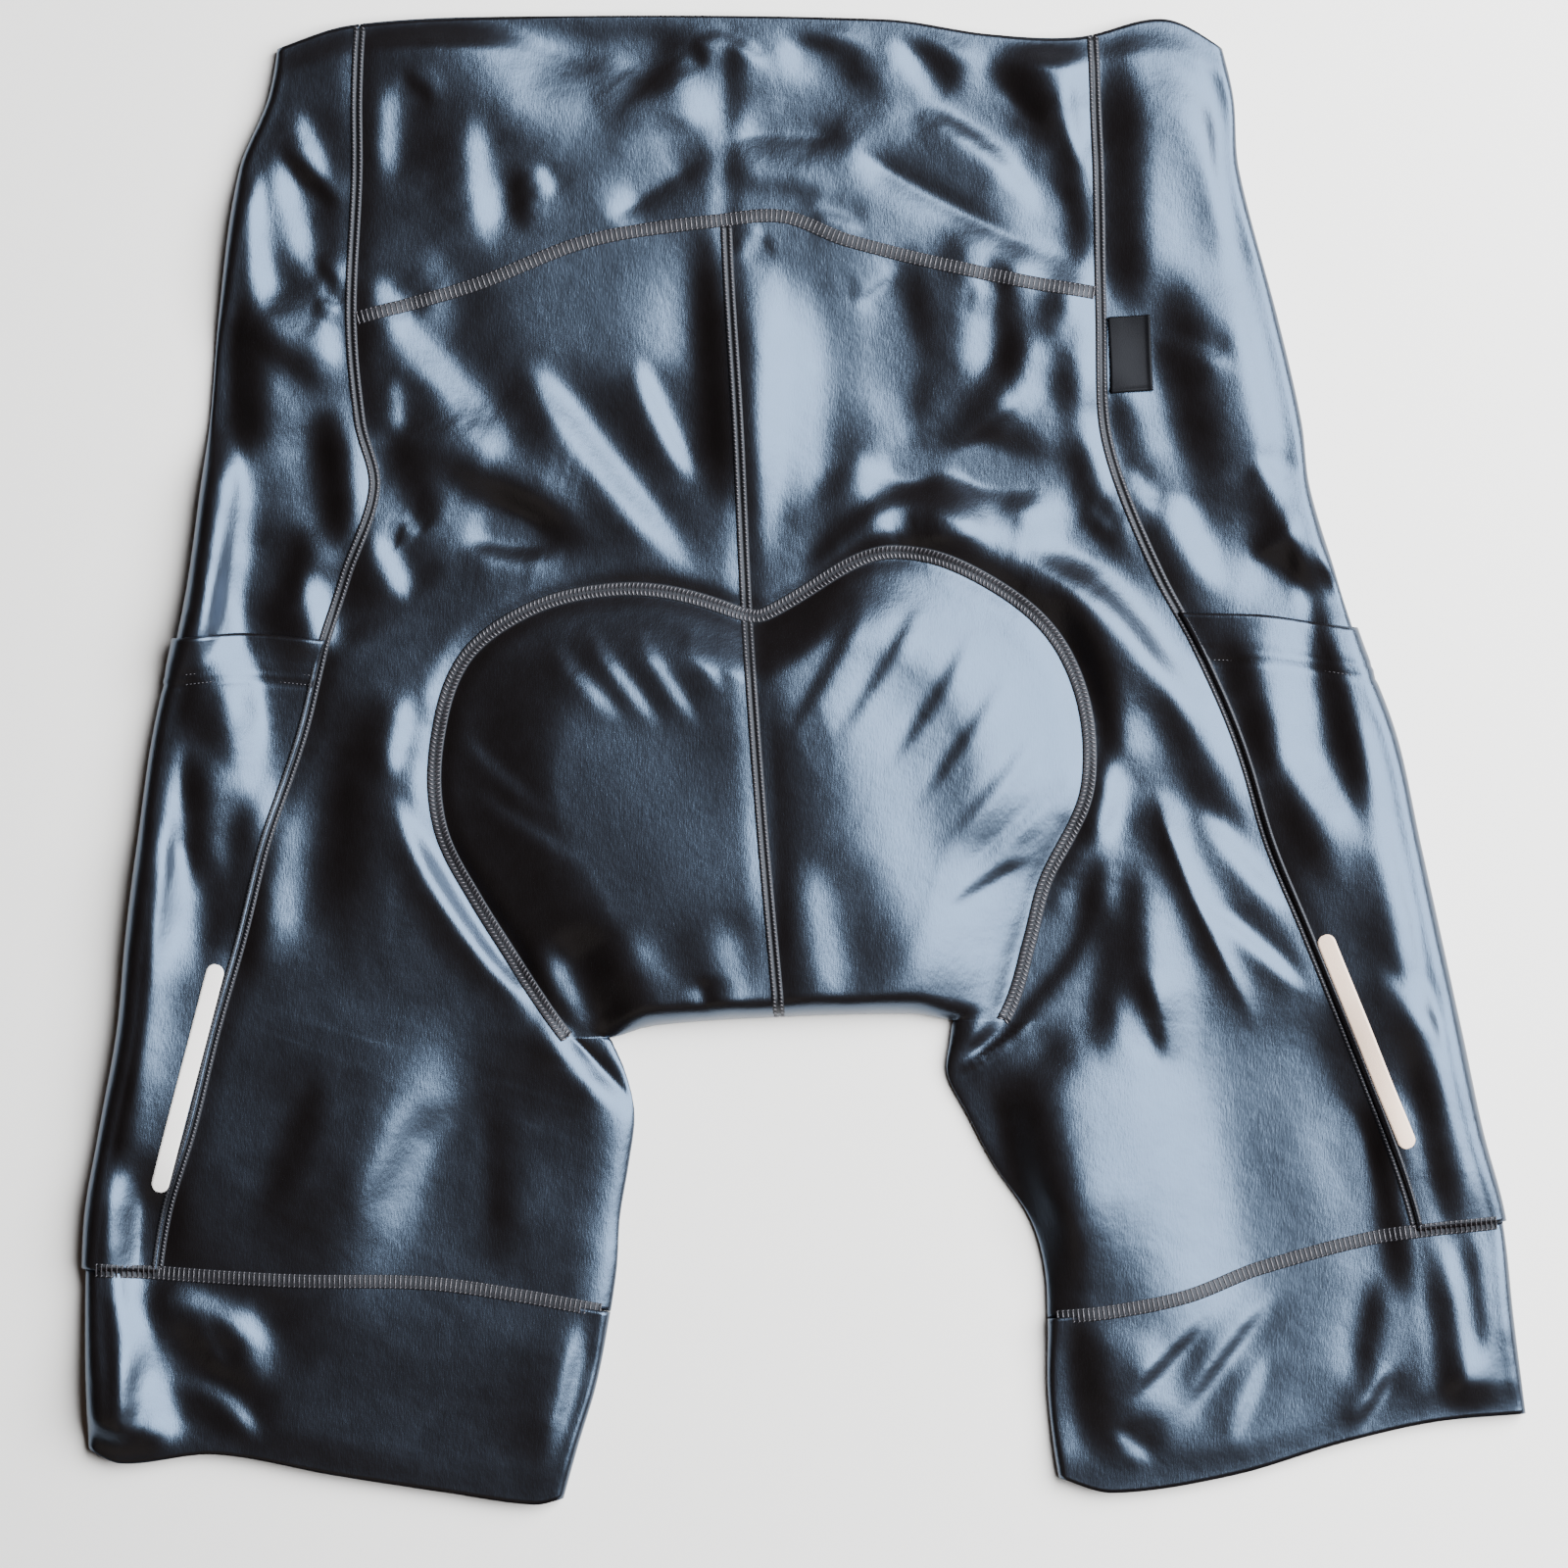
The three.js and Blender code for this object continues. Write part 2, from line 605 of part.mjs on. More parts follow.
// A leg band: a flattened tube of doubled cloth, open at both ends
function legBand(name, side) {
  const edges = {
    from: side.inner,
    to: side.fold,
    top: shifted(side.band, -half),
    bottom: side.hem,
  };
  const grid = [0, ...shares(0, 1, BAND_ROWS)].map((down) => {
    const guess = lerp(BAND_TOP_GUESS, BAND_END_GUESS, down);
    const plan = (share) => planPoint(edges, share, down, guess);
    const underEdges = { ...edges, top: shifted(bandUnder(side), -half) };
    const planUnder = (share) => planPoint(underEdges, share, down, guess);
    const [innerX] = plan(0);
    const [outerX] = plan(1);
    const seamShare = (side.seam(guess) - innerX) / (outerX - innerX);
    const width = Math.abs(outerX - innerX);
    const radiusAt = (share) => height(...plan(share)) / 2;
    const innerRadius = radiusAt(ROLL_LOOK / width);
    const outerRadius = radiusAt(1 - ROLL_LOOK / width);
    const start = innerRadius / width;
    const end = 1 - outerRadius / width;
    const point = ([x, y], z) => new THREE.Vector3(x, y, z);
    const roll = (angles, centre, radius, way) => angles.map((angle) => {
      const turn = THREE.MathUtils.degToRad(angle);
      const share = centre + way * (radius / width) * Math.cos(turn);
      const level = angle < 0 ? planUnder(share) : plan(share);
      return point(level, radius + radius * Math.sin(turn));
    });
    const over = shares(0, 1, BAND_COLUMNS + 1).slice(0, -1).map((t) => {
      const share = lerp(start, end, t);
      return point(plan(share), height(...plan(share)));
    });
    const stations = [(end + seamShare) / 2, seamShare, (seamShare + start) / 2];
    const beneath = stations.map((share) => point(planUnder(share), 0));
    return [
      ...over,
      ...roll(ROLL_ANGLES, end, outerRadius, 1),
      ...beneath,
      ...roll([...ROLL_ANGLES].reverse(), start, innerRadius, -1),
    ];
  });
  piece(name, clothWall(grid, 0, -DOUBLED, { ring: true }), ...SATIN);
}

// The foam pad between the layers, its top following the faces of the cloth above it
function seatPad(backGrids) {
  const profile = [
    [0, 1], [0.2, 1], [0.4, 1], [0.6, 1], [0.8, 1], [0.92, 1], [1, 1], [1, 0], [0.5, 0], [0, 0],
  ];
  const outline = profile.map(([r, z]) => new THREE.Vector2(r, z));
  const geometry = new THREE.LatheGeometry(outline, PAD_SEGMENTS);
  const points = geometry.getAttribute('position');
  const floor = WALL + SEAM_GAP;
  for (let i = 0; i < points.count; i += 1) {
    const dx = points.getX(i);
    const dy = points.getZ(i);
    const share = Math.hypot(dx, dy);
    const turn = Math.atan2(dy, dx);
    const turned = THREE.MathUtils.radToDeg(turn);
    const stitched = padReach(turned < -90 ? turned + 360 : turned) - PAD_EDGE;
    const lowest = PAD_Y - (seatFold(PAD_X) + PAD_SEAT_CLEAR);
    const down = Math.sin(turn) < 0 ? lowest / -Math.sin(turn) : Infinity;
    const reach = Math.min(stitched, down);
    const x = PAD_X + share * reach * Math.cos(turn);
    const y = PAD_Y + share * reach * Math.sin(turn);
    const top = Math.max(...backGrids.map((grid) => faceHeight(grid, x, y))) - WALL - PAD_CLEAR;
    points.setXYZ(i, x, y, points.getY(i) > 0.5 ? top : floor);
  }
  geometry.deleteAttribute('normal');
  geometry.deleteAttribute('uv');
  piece('seat_pad', mergeVertices(geometry, LATHE_MERGE), 0x4a4a4e, 0.8);
}

// Height of a grid's outer face at a plan point, on the triangles that the wall has there
function faceHeight(grid, x, y) {
  let found = 0;
  for (let i = 0; i < grid.length - 1; i += 1) {
    for (let j = 0; j < grid[0].length - 1; j += 1) {
      const corners = [grid[i][j], grid[i + 1][j], grid[i + 1][j + 1], grid[i][j + 1]];
      for (const [a, b, c] of [[0, 1, 2], [0, 2, 3]].map((t) => t.map((k) => corners[k]))) {
        const area = (b.x - a.x) * (c.y - a.y) - (c.x - a.x) * (b.y - a.y);
        if (Math.abs(area) < 1e-6) continue;
        const s = ((x - a.x) * (c.y - a.y) - (c.x - a.x) * (y - a.y)) / area;
        const t = ((b.x - a.x) * (y - a.y) - (x - a.x) * (b.y - a.y)) / area;
        if (s < -1e-6 || t < -1e-6 || s + t > 1 + 1e-6) continue;
        found = Math.max(found, a.z + s * (b.z - a.z) + t * (c.z - a.z));
      }
    }
  }
  return found;
}

// A reflective strip with round ends, lying on its pocket
function strip(row, pocketGrid) {
  const along = new THREE.Vector2(row.x1 - row.x0, row.y1 - row.y0);
  const length = along.length();
  const direction = along.normalize();
  const radius = STRIP_WIDTH / 2;
  const farTip = [...STRIP_TIP].reverse().map((tip) => length - tip);
  const body = shares(radius, length - radius, STRIP_STEPS);
  const stations = [...STRIP_TIP, radius, ...body, ...farTip];
  const grid = stations.map((station) => {
    const toEnd = Math.min(station, length - station, radius);
    const halfWidth = Math.sqrt(radius ** 2 - (radius - toEnd) ** 2);
    return [-1, 0, 1].map((way) => {
      const x = row.x0 + direction.x * station - direction.y * halfWidth * way;
      const y = row.y0 + direction.y * station + direction.x * halfWidth * way;
      return new THREE.Vector3(x, y, faceHeight(pocketGrid, x, y) + SEAM_GAP + WALL);
    });
  });
  piece(row.name, clothWall(grid, STRIP_CLEAR + STRIP_THICK, STRIP_CLEAR), row.sheen, 0.35);
}

// The folded label that hangs out of the right seam over the side panel
function label(grid) {
  const down5 = [0, ...shares(0, 1, 4)];
  const across4 = [0, ...shares(0, 1, 3)];
  const rows = down5.map((down) => across4.map((across) => {
    const x = LABEL.x + LABEL.lean * down + LABEL.width * across;
    const y = LABEL.y - LABEL.length * down + LABEL.lean * across;
    return new THREE.Vector3(x, y, faceHeight(grid, x, y));
  }));
  piece('label', clothWall(rows, LABEL_CLEAR + LABEL_THICK, LABEL_CLEAR), 0x55565c, 0.5);
}

const columnShares = {
  left: panelColumns(SIDES.left, BACK_COLUMNS).seat,
  right: panelColumns(SIDES.right, BACK_COLUMNS).seat,
};
waistband('back_waistband', yoke, columnShares, DOUBLED, height);
seatPad([backPanel('back_left', SIDES.left), backPanel('back_right', SIDES.right)]);
const frontShares = { left: [0, 0.5, 1], right: [0, 0.5, 1] };
waistband('front_waistband', frontYoke, frontShares, WALL, () => WALL);
frontPanel('front_left', SIDES.left);
frontPanel('front_right', SIDES.right);
const pocketGrids = {};
for (const [key, side] of Object.entries(SIDES)) {
  pocketGrids[key] = sideAndPocket(key, side);
  legBand(`band_${key}`, side);
}
strip(STRIPS[0], pocketGrids.left);
strip(STRIPS[1], pocketGrids.right);
label(sideGrid(SIDES.right));

// The frame's origin: the middle of the garment's plan, on the surface it lies on
const bounds = new THREE.Box3().setFromObject(shorts);
const centre = bounds.getCenter(new THREE.Vector3());
shorts.position.set(-centre.x, -centre.y, -bounds.min.z);

export default shorts;
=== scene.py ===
"""Looks of the padded shorts: satin knit laid flat on its front, the back side up.

Plan sizes are in millimetres in the sketch frame of the part (+X right, +Y to the waist) and turn into
metres of the row frame when a mesh is made. Each cloth piece is a thin shell on its solid's own form.
"""

import logging
import math
from dataclasses import dataclass, field, replace
from enum import Enum
from typing import Any, Callable, Sequence

import bpy
import numpy as np
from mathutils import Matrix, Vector


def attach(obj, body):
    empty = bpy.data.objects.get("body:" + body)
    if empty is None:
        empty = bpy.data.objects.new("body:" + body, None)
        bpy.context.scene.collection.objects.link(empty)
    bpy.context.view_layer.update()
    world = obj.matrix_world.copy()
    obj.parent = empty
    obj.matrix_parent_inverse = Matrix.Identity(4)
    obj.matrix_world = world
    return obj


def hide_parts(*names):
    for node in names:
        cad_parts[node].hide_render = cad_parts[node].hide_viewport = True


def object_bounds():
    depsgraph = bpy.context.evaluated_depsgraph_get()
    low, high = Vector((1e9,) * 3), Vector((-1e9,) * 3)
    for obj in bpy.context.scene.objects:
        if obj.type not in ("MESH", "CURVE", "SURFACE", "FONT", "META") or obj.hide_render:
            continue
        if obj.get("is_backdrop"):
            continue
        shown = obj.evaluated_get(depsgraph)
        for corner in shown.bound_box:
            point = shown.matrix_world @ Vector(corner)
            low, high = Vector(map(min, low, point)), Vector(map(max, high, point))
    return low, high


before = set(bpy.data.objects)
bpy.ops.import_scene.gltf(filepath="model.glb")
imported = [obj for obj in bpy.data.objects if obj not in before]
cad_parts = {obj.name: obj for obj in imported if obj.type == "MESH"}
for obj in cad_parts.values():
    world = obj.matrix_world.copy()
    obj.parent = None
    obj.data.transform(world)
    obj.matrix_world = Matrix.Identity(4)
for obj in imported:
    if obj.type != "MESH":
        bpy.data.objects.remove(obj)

Array = np.ndarray
Pair = tuple[Array, Array]  # x and y, or vertices and faces
Edge = Callable[[Array], Array]
Edges = tuple[Edge, Edge, Edge, Edge]  # run from, run to, top and bottom

logging.basicConfig(level=logging.INFO, format="%(message)s")
log = logging.getLogger("shorts")

MM = 0.001
FRAME_SHIFT = np.array([0.5295, -0.4380, 0.0])  # sketch to row frame

# Cloth and making
WALL = 1.0
DOUBLED = 1.5
SEAM_GAP = 0.3
REST_HEIGHT = 6.2
WAIST_HEIGHT = 4.8
HEM_HEIGHT = 5.4
LOWEST = 3.0
HIGHEST = 17.0
WAIST_FADE = 12.0
HEM_FADE = 13.0
FOLD_ROUND = 8.0
LEG_ROUND = 16.0
FOLD_FOOT = 2.2
ROLL_LOOK = 4.0
POCKET_STEP = 14.0
POCKET_AJAR = 1.8
POCKET_AJAR_REACH = 24.0
SOLVE_STEPS = 8
CROTCH_Y = -86.0
LEG_TOP_Y = -120.0
GRID_STEP = 1.35  # of the shells' points
ROUND_DENSITY = 1.5  # points for each millimetre of a rounded end
FOLD_POINTS = 12  # along the line of a fold
BAND_LEVEL = -175.0  # about the height of the band seams
HEM_LEVEL = -240.0
TINY = 1e-6
FLAT = 1e-3  # slope below which a direction counts as level
SHORTEST = 1e-12  # sum of normals that still has a direction

# Light side of the folds in the plan
LIGHT = np.array([0.756, 0.655])


def lerp(a: Any, b: Any, t: Any) -> Any:
    """Value a share t of the way from a to b."""
    return a + (b - a) * t


def spots(x: Array, y: Array, z: Array) -> Array:
    """Points from their coordinates, which are the last axis."""
    return np.stack([x, y, z], -1)


def smooth(t: Any) -> Array:
    """Smooth step 3t^2 - 2t^3 of t held within 0 and 1."""
    held = np.clip(t, 0.0, 1.0)
    return held * held * (3.0 - 2.0 * held)


@dataclass(frozen=True)
class Curve:
    """A smooth curve through knots: a cubic between two knots, a straight line past the ends."""

    at: tuple[float, ...]
    value: tuple[float, ...]

    def __call__(self, t: Any) -> Array:
        """Value at t: the cubic Hermite with central slopes m,
        v0 (1+2s)(1-s)^2 + m0 h s(1-s)^2 + v1 s^2(3-2s) - m1 h s^2(1-s).

        Args:
            t: places along the curve.
        Returns:
            The values there.
        """
        k = np.array(self.at, float)
        v = np.array(self.value, float)
        before = np.maximum(np.arange(len(k)) - 1, 0)
        after = np.minimum(np.arange(len(k)) + 1, len(k) - 1)
        m = (v[after] - v[before]) / (k[after] - k[before])
        t = np.asarray(t, float)
        i = np.clip(np.searchsorted(k, t, side="right") - 1, 0, len(k) - 2)
        h = k[i + 1] - k[i]
        s = (t - k[i]) / h
        r = 1.0 - s
        inside = v[i] * (1 + 2 * s) * r * r + m[i] * h * s * r * r
        inside = inside + v[i + 1] * s * s * (3 - 2 * s) - m[i + 1] * h * s * s * r
        low = v[0] + m[0] * (t - k[0])
        high = v[-1] + m[-1] * (t - k[-1])
        return np.where(t <= k[0], low, np.where(t >= k[-1], high, inside))


def curves(columns: str, rows: Sequence[Sequence[float]]) -> dict[str, Curve]:
    """A curve for each named column of a table, along its first column.

    Args:
        columns: names of the table's columns, the first being the one run along.
        rows: the table.
    Returns:
        Curve of each later column, by name.
    """
    names = columns.split()
    data = sorted(tuple(row) for row in rows)
    along = tuple(row[0] for row in data)
    return {name: Curve(along, tuple(row[i] for row in data)) for i, name in enumerate(names) if i}


# Side folds and long seams at each height
SECTIONS = curves("y left_fold left_seam right_seam right_fold", [
    (250, -178, -151, 97, 139), (225, -182, -152, 98, 145), (200, -192, -152, 99, 147),
    (150, -199, -154, 100, 160), (115, -202, -151, 101, 168), (92, -205, -146, 107, 171),
    (62, -209, -156, 120, 180), (40, -213, -163, 132, 187), (8, -220, -171, 146, 199),
    (-28, -225, -183, 157, 207), (-60, -229, -191, 170, 214), (-92, -232, -200, 183, 221),
    (-125, -238, -208, 196, 228), (-155, -243, -217, 206, 236), (-190, -244, -222, 212, 240),
    (-235, -243, -228, 218, 246),
])
# Inner edge of each leg
LEGS = curves("y left_inner right_inner", [
    (-86, -68, 50), (-94, -66, 49), (-106, -61, 48), (-120, -58, 55), (-137, -60, 64),
    (-155, -63, 76), (-172, -64, 81), (-192, -67, 82), (-212, -71, 82), (-232, -77, 84),
    (-250, -82, 87),
])
MIDDLE = curves("y x", [(252, -27), (183, -27), (112, -23), (49, -20), (-20, -15), (-86, -9)])["x"]
WAIST = curves("x y", [
    (-182, 240), (-154, 249), (-95, 252), (27, 251), (62, 246), (92, 245), (122, 251), (145, 239),
])["y"]
YOKE = curves("x y", [
    (-154, 149), (-112, 161), (-73, 176), (-27, 183), (-7, 184), (14, 176), (69, 163), (100, 158),
])["y"]
FRONT_YOKE = curves("x y", [(-154, 149), (-27, 140), (100, 158)])["y"]
SEAT_FOLD = curves("x y", [
    (-200, -96), (-67, -94), (-52, -90), (-9, -87), (37, -86), (50, -88), (183, -92),
])["y"]
LEFT_BAND = curves("x y", [
    (-244, -172), (-178, -176), (-129, -177), (-98, -181), (-65, -187),
])["y"]
RIGHT_BAND = curves("x y", [
    (81, -189), (106, -186), (130, -181), (154, -172), (196, -161), (237, -156),
])["y"]
LEFT_HEM = curves("x y", [
    (-245, -232), (-232, -238), (-200, -235), (-160, -242), (-121, -248), (-92, -252), (-82, -250),
])["y"]
RIGHT_HEM = curves("x y", [
    (86, -243), (104, -248), (145, -242), (182, -231), (213, -224), (246, -221),
])["y"]
LEFT_MOUTH = curves("x y", [(-213, 41), (-190, 43), (-164, 41)])["y"]
RIGHT_MOUTH = curves("x y", [(133, 50), (156, 49), (188, 44)])["y"]
# Reach of the pad's stitched outline at each angle round its centre
PAD_REACH = curves("angle reach", [
    (-70, 118), (-42, 109), (-27, 101), (-14, 99), (4, 110), (27, 114), (45, 107), (64, 95),
    (78, 75), (86, 67), (93, 64), (104, 70), (125, 89), (141, 104), (154, 113), (168, 113),
    (184, 110), (198, 103), (210, 100), (222, 101), (250, 110),
])["reach"]


@dataclass(frozen=True)
class Side:
    """One side of the garment: its edges, and which way is outward."""

    name: str
    outward: int
    fold: Edge
    seam: Edge
    inner: Edge
    band: Edge
    hem: Edge
    mouth: Edge
    crotch: tuple[float, float]


LEFT = Side("left", -1, SECTIONS["left_fold"], SECTIONS["left_seam"], LEGS["left_inner"],
            LEFT_BAND, LEFT_HEM, LEFT_MOUTH, (-67.0, -94.0))
RIGHT = Side("right", 1, SECTIONS["right_fold"], SECTIONS["right_seam"], LEGS["right_inner"],
             RIGHT_BAND, RIGHT_HEM, RIGHT_MOUTH, (50.0, -88.0))


class Face(Enum):
    """Which part of a fold its listed line marks."""

    LIT = 1
    CREST = 0
    DARK = -1


# Folds: start, middle, end, rise (below 0 a trough), half width, and what the line marks
L, C, D = Face.LIT, Face.CREST, Face.DARK
FOLDS: list[tuple[Any, ...]] = [
    # Waistband, left to right
    (-140, 231, -141, 213, -142, 192, 2.6, 7, L), (-137, 234, -131, 228, -124, 221, -1.3, 3.5, D),
    (-112, 222, -110, 198, -106, 170, 3.2, 8, L), (-98, 203, -97, 190, -95, 178, 1.9, 5, D),
    (-91, 203, -88, 196, -85, 190, 1.2, 4, L), (-92, 241, -66, 234, -40, 226, 3.5, 13, L),
    (-38, 245, -36, 240, -33, 234, 1.4, 4, D), (-32, 250, -22, 243, -11, 234, 1.7, 4, L),
    (-9, 246, 6, 244, 22, 243, 2.6, 6, D), (27, 247, 37, 235, 46, 222, 2.9, 6, L),
    (-67, 182, -50, 195, -28, 208, -2.6, 9, C), (-28, 208, -6, 214, 16, 208, -2.4, 9, C),
    (16, 208, 40, 193, 88, 168, -2.4, 8, C), (-30, 196, -10, 194, 10, 192, 1.7, 6, D),
    (2, 187, 11, 184, 21, 180, 1.4, 4, L), (37, 223, 62, 208, 95, 173, 3.5, 6, L),
    (62, 227, 71, 220, 80, 213, 1.4, 4, L), (89, 236, 91, 218, 94, 199, 1.9, 4, L),
    # Under the yoke
    (-147, 166, -140, 155, -131, 147, 2.8, 8, L), (-139, 131, -138, 120, -138, 108, 1.7, 5, L),
    (-13, 179, -18, 175, -24, 170, -1.2, 3.5, D), (32, 166, 24, 160, 16, 154, -1.2, 3.5, D),
    (55, 162, 62, 160, 68, 157, 1.4, 5, L), (97, 160, 89, 150, 83, 138, 2.2, 6, L),
    # Along the middle seam
    (-10, 174, -10, 120, -14, 60, 4.3, 9, L), (-34, 188, -31, 132, -27, 80, 6.5, 10, D),
    # Left side panel
    (-172, 222, -167, 207, -159, 190, 2.3, 6, L), (-179, 209, -168, 197, -157, 186, -2.2, 4, D),
    (-180, 206, -173, 184, -168, 160, 5.5, 9, L), (-166, 171, -162, 165, -157, 160, -1.2, 3, D),
    (-166, 157, -161, 155, -157, 152, 1.3, 3, L), (-164, 150, -161, 142, -160, 132, 1.4, 5, L),
    (-196, 152, -178, 138, -160, 124, -3.8, 8, D), (-193, 105, -192, 80, -194, 50, 4.1, 9, L),
    (-172, 82, -172, 66, -174, 50, 2.6, 7, D),
    # Left pocket
    (-186, 38, -187, 10, -188, -18, 3.8, 10, L), (-218, -20, -216, -45, -221, -80, 3.8, 8, L),
    (-205, -28, -200, -50, -203, -80, 2.3, 8, D), (-226, -140, -229, -158, -229, -174, 2.2, 7, L),
    # Above the pad, left
    (-95, 138, -70, 103, -34, 59, 6.1, 8, L), (-57, 138, -49, 117, -36, 92, 3.2, 5, L),
    (-172, 66, -164, 50, -158, 34, 6, 9, L), (-148, 80, -140, 66, -134, 52, 4, 7, L),
    (-118, 74, -100, 71, -80, 72, 3, 6, L), (-137, 81, -133, 79, -130, 76, 1.4, 4, L),
    (-110, 96, -92, 84, -66, 68, -2.6, 8, D),
    # Above the pad, right
    (36, 91, 14, 79, -2, 58, 2.9, 6, D), (76, 150, 62, 125, 50, 100, 3.8, 11, D),
    (51, 97, 61, 112, 82, 124, 2.6, 6, L), (22, 84, 55, 91, 92, 82, 4.3, 9, L),
    (60, 73, 104, 53, 136, 2, 6.1, 8, L), (95, 87, 100, 82, 105, 76, 1.7, 4, L),
    # Right side panel
    (120, 238, 142, 205, 158, 158, 4.3, 9, L), (118, 145, 132, 139, 146, 133, 2.2, 5, L),
    (108, 99, 114, 92, 120, 83, 2.2, 5, L), (125, 92, 131, 76, 144, 55, 4.3, 8, L),
    (151, 103, 159, 97, 167, 91, 2.6, 5, L), (169, 82, 160, 75, 151, 68, 1.4, 4, C),
    # Right pocket
    (150, 14, 172, -8, 200, -40, 2.9, 9, L), (193, 22, 203, 2, 211, -17, 2, 5, D),
    (192, -68, 205, -82, 219, -95, 2.6, 6, L), (208, -50, 211, -66, 212, -80, 1.7, 4, D),
    # Thigh folds beside the pad, left
    (-132, 24, -137, 8, -140, -8, 3.5, 6, L), (-140, -8, -117, -51, -87, -86, 5.8, 5, L),
    (-90, -83, -74, -101, -59, -118, 4.3, 6, L), (-157, 10, -160, -30, -178, -78, 2.9, 12, D),
    # Thigh folds beside the pad, right
    (104, 6, 104, -14, 99, -32, 4.3, 7, L), (99, -30, 91, -60, 62, -100, 5.8, 7, D),
    (119, -8, 129, -41, 155, -94, 3.2, 7, C), (131, -14, 147, -32, 165, -54, 3.8, 6, L),
    (134, -48, 152, -62, 172, -80, 2.6, 4, L), (113, -70, 118, -88, 122, -104, 2.6, 5, D),
    (-81, -92, -70, -103, -58, -116, -1.8, 1.3, C), (78, -87, 64, -98, 50, -106, 2.2, 1.6, C),
    (74, -88, 63, -93, 52, -100, 2.6, 4, D),
    # Legs
    (-132, -112, -140, -134, -152, -158, 2, 9, L), (-164, -104, -172, -130, -186, -160, 2.3, 8, D),
    (72, -96, 78, -135, 88, -183, 6.5, 15, D), (186, -112, 192, -134, 198, -156, 2.3, 7, D),
    # Leg bands
    (109, -217, 122, -203, 137, -188, 2, 4, L), (127, -224, 143, -200, 162, -179, 2.3, 4.5, L),
    (143, -233, 150, -216, 157, -200, 1.3, 4, L), (187, -214, 191, -193, 194, -172, 2.6, 6, D),
    (185, -230, 192, -217, 200, -203, 2.6, 4, L), (104, -224, 110, -232, 120, -238, 1.4, 4, L),
    (-228, -198, -228, -215, -229, -234, 2.9, 7, L), (-230, -175, -206, -182, -172, -204, 3.5, 7, L),
    (-218, -210, -196, -216, -183, -236, 2.9, 5, L), (-205, -187, -200, -198, -194, -208, 1.3, 4, L),
    # Small draws of the cloth on the pad, left lobe then right lobe
    (-87, 42, -74, 26, -60, 12, 1.3, 4, L), (-74, 45, -62, 28, -47, 9, 1.3, 3.5, L),
    (-57, 45, -47, 28, -34, 9, 1.2, 3.5, L), (-41, 45, -34, 34, -26, 22, 1, 3, L),
    (-117, 9, -103, -4, -87, -18, 1.3, 4, L), (-114, -8, -96, -21, -74, -35, 1.2, 4, L),
    (19, 52, 7, 30, -7, 5, -1.4, 4, D), (39, 55, 26, 31, 9, 5, -1.3, 3.5, D),
    (56, 45, 43, 20, 26, -5, -1.3, 3.5, D), (69, 32, 54, 8, 36, -18, -1, 3, D),
    (79, 12, 64, -8, 46, -28, -1.2, 3, D), (86, -8, 70, -24, 52, -41, -1, 3, D),
    (79, -31, 62, -40, 46, -51, -1.3, 3, D), (-36, -72, -34, -81, -32, -90, -1.6, 6, C),
    (-13, 34, -10, -20, -8, -86, -1.2, 9, C),
    # Broad faces, most of them lit
    (-2, 172, 2, 120, -2, 74, 4.5, 12, L), (34, 180, 38, 142, 38, 100, 6, 11, D),
    (-148, 160, -124, 132, -94, 96, 4.8, 11, L), (20, 88, 60, 95, 100, 86, 4, 13, L),
    (62, 82, 112, 52, 142, -8, 5.5, 12, L), (116, -78, 131, -144, 152, -238, 9, 29, L),
    (150, 16, 176, -20, 200, -60, 3, 15, L), (-122, 292, -98, 244, -66, 204, 10, 26, L),
    (-56, 290, -58, 250, -66, 218, 4, 12, L), (-46, 240, -38, 226, -34, 212, 3, 9, L),
    (-189, 204, -185, 176, -182, 146, 6, 9, L), (-202, 68, -192, 32, -188, -4, 8.5, 12, L),
    (16, 106, 26, 88, 34, 68, 6.5, 11, L), (46, 108, 56, 90, 66, 72, 6.5, 11, L),
    (-90, -58, -79, -80, -68, -104, 7, 10, L), (-206, 98, -202, 58, -204, 12, 6, 12, L),
    (-116, -84, -134, -136, -162, -188, 9.5, 23, L), (-226, -184, -220, -216, -208, -250, 9, 13, L),
    (-232, -128, -231, -162, -229, -198, 8, 9, L), (-126, 176, -124, 158, -120, 140, 2.5, 10, L),
    (-190, -178, -186, -196, -182, -216, 3, 9, L), (-74, -184, -78, -214, -84, -246, 4, 9, L),
    (12, 56, 30, -12, 44, -90, 6.5, 27, L), (0, -28, 6, -58, 12, -88, 4, 12, L),
    (-62, -56, -52, -74, -44, -92, 3.5, 13, L), (-32, -50, -24, -72, -18, -92, 3, 10, L),
    (22, 100, 46, 86, 76, 72, 5, 9, L), (112, -190, 122, -210, 130, -236, 3, 12, L),
    # Long swells along the side folds
    (127, 262, 145, 150, 164, 56, 2.5, 17, C), (174, 50, 198, -50, 223, -168, 6, 20, C),
    (214, -160, 221, -192, 226, -232, 4.5, 15, C), (-201, 116, -206, 72, -213, 18, 5, 16, C),
    (-214, 34, -222, -64, -234, -176, 5.5, 18, C), (-234, -172, -235, -204, -236, -244, 4.5, 15, C),
    # Broad dark faces
    (96, -50, 88, -84, 80, -120, 4.5, 12, D), (109, -30, 111, -62, 114, -98, 6, 9, D),
    (100, -42, 102, -72, 98, -104, 7, 10, D), (48, 188, 50, 150, 46, 104, 5.5, 12, D),
    (105, 254, 108, 195, 110, 136, 7, 11, D), (82, 172, 86, 140, 91, 106, 6.5, 11, D),
    (124, 174, 129, 128, 140, 84, 8, 14, D), (142, 46, 150, 20, 158, -6, 5.5, 9, D),
    (146, 238, 152, 188, 161, 138, 6, 10, D), (170, 56, 181, 20, 193, -22, 6, 9, D),
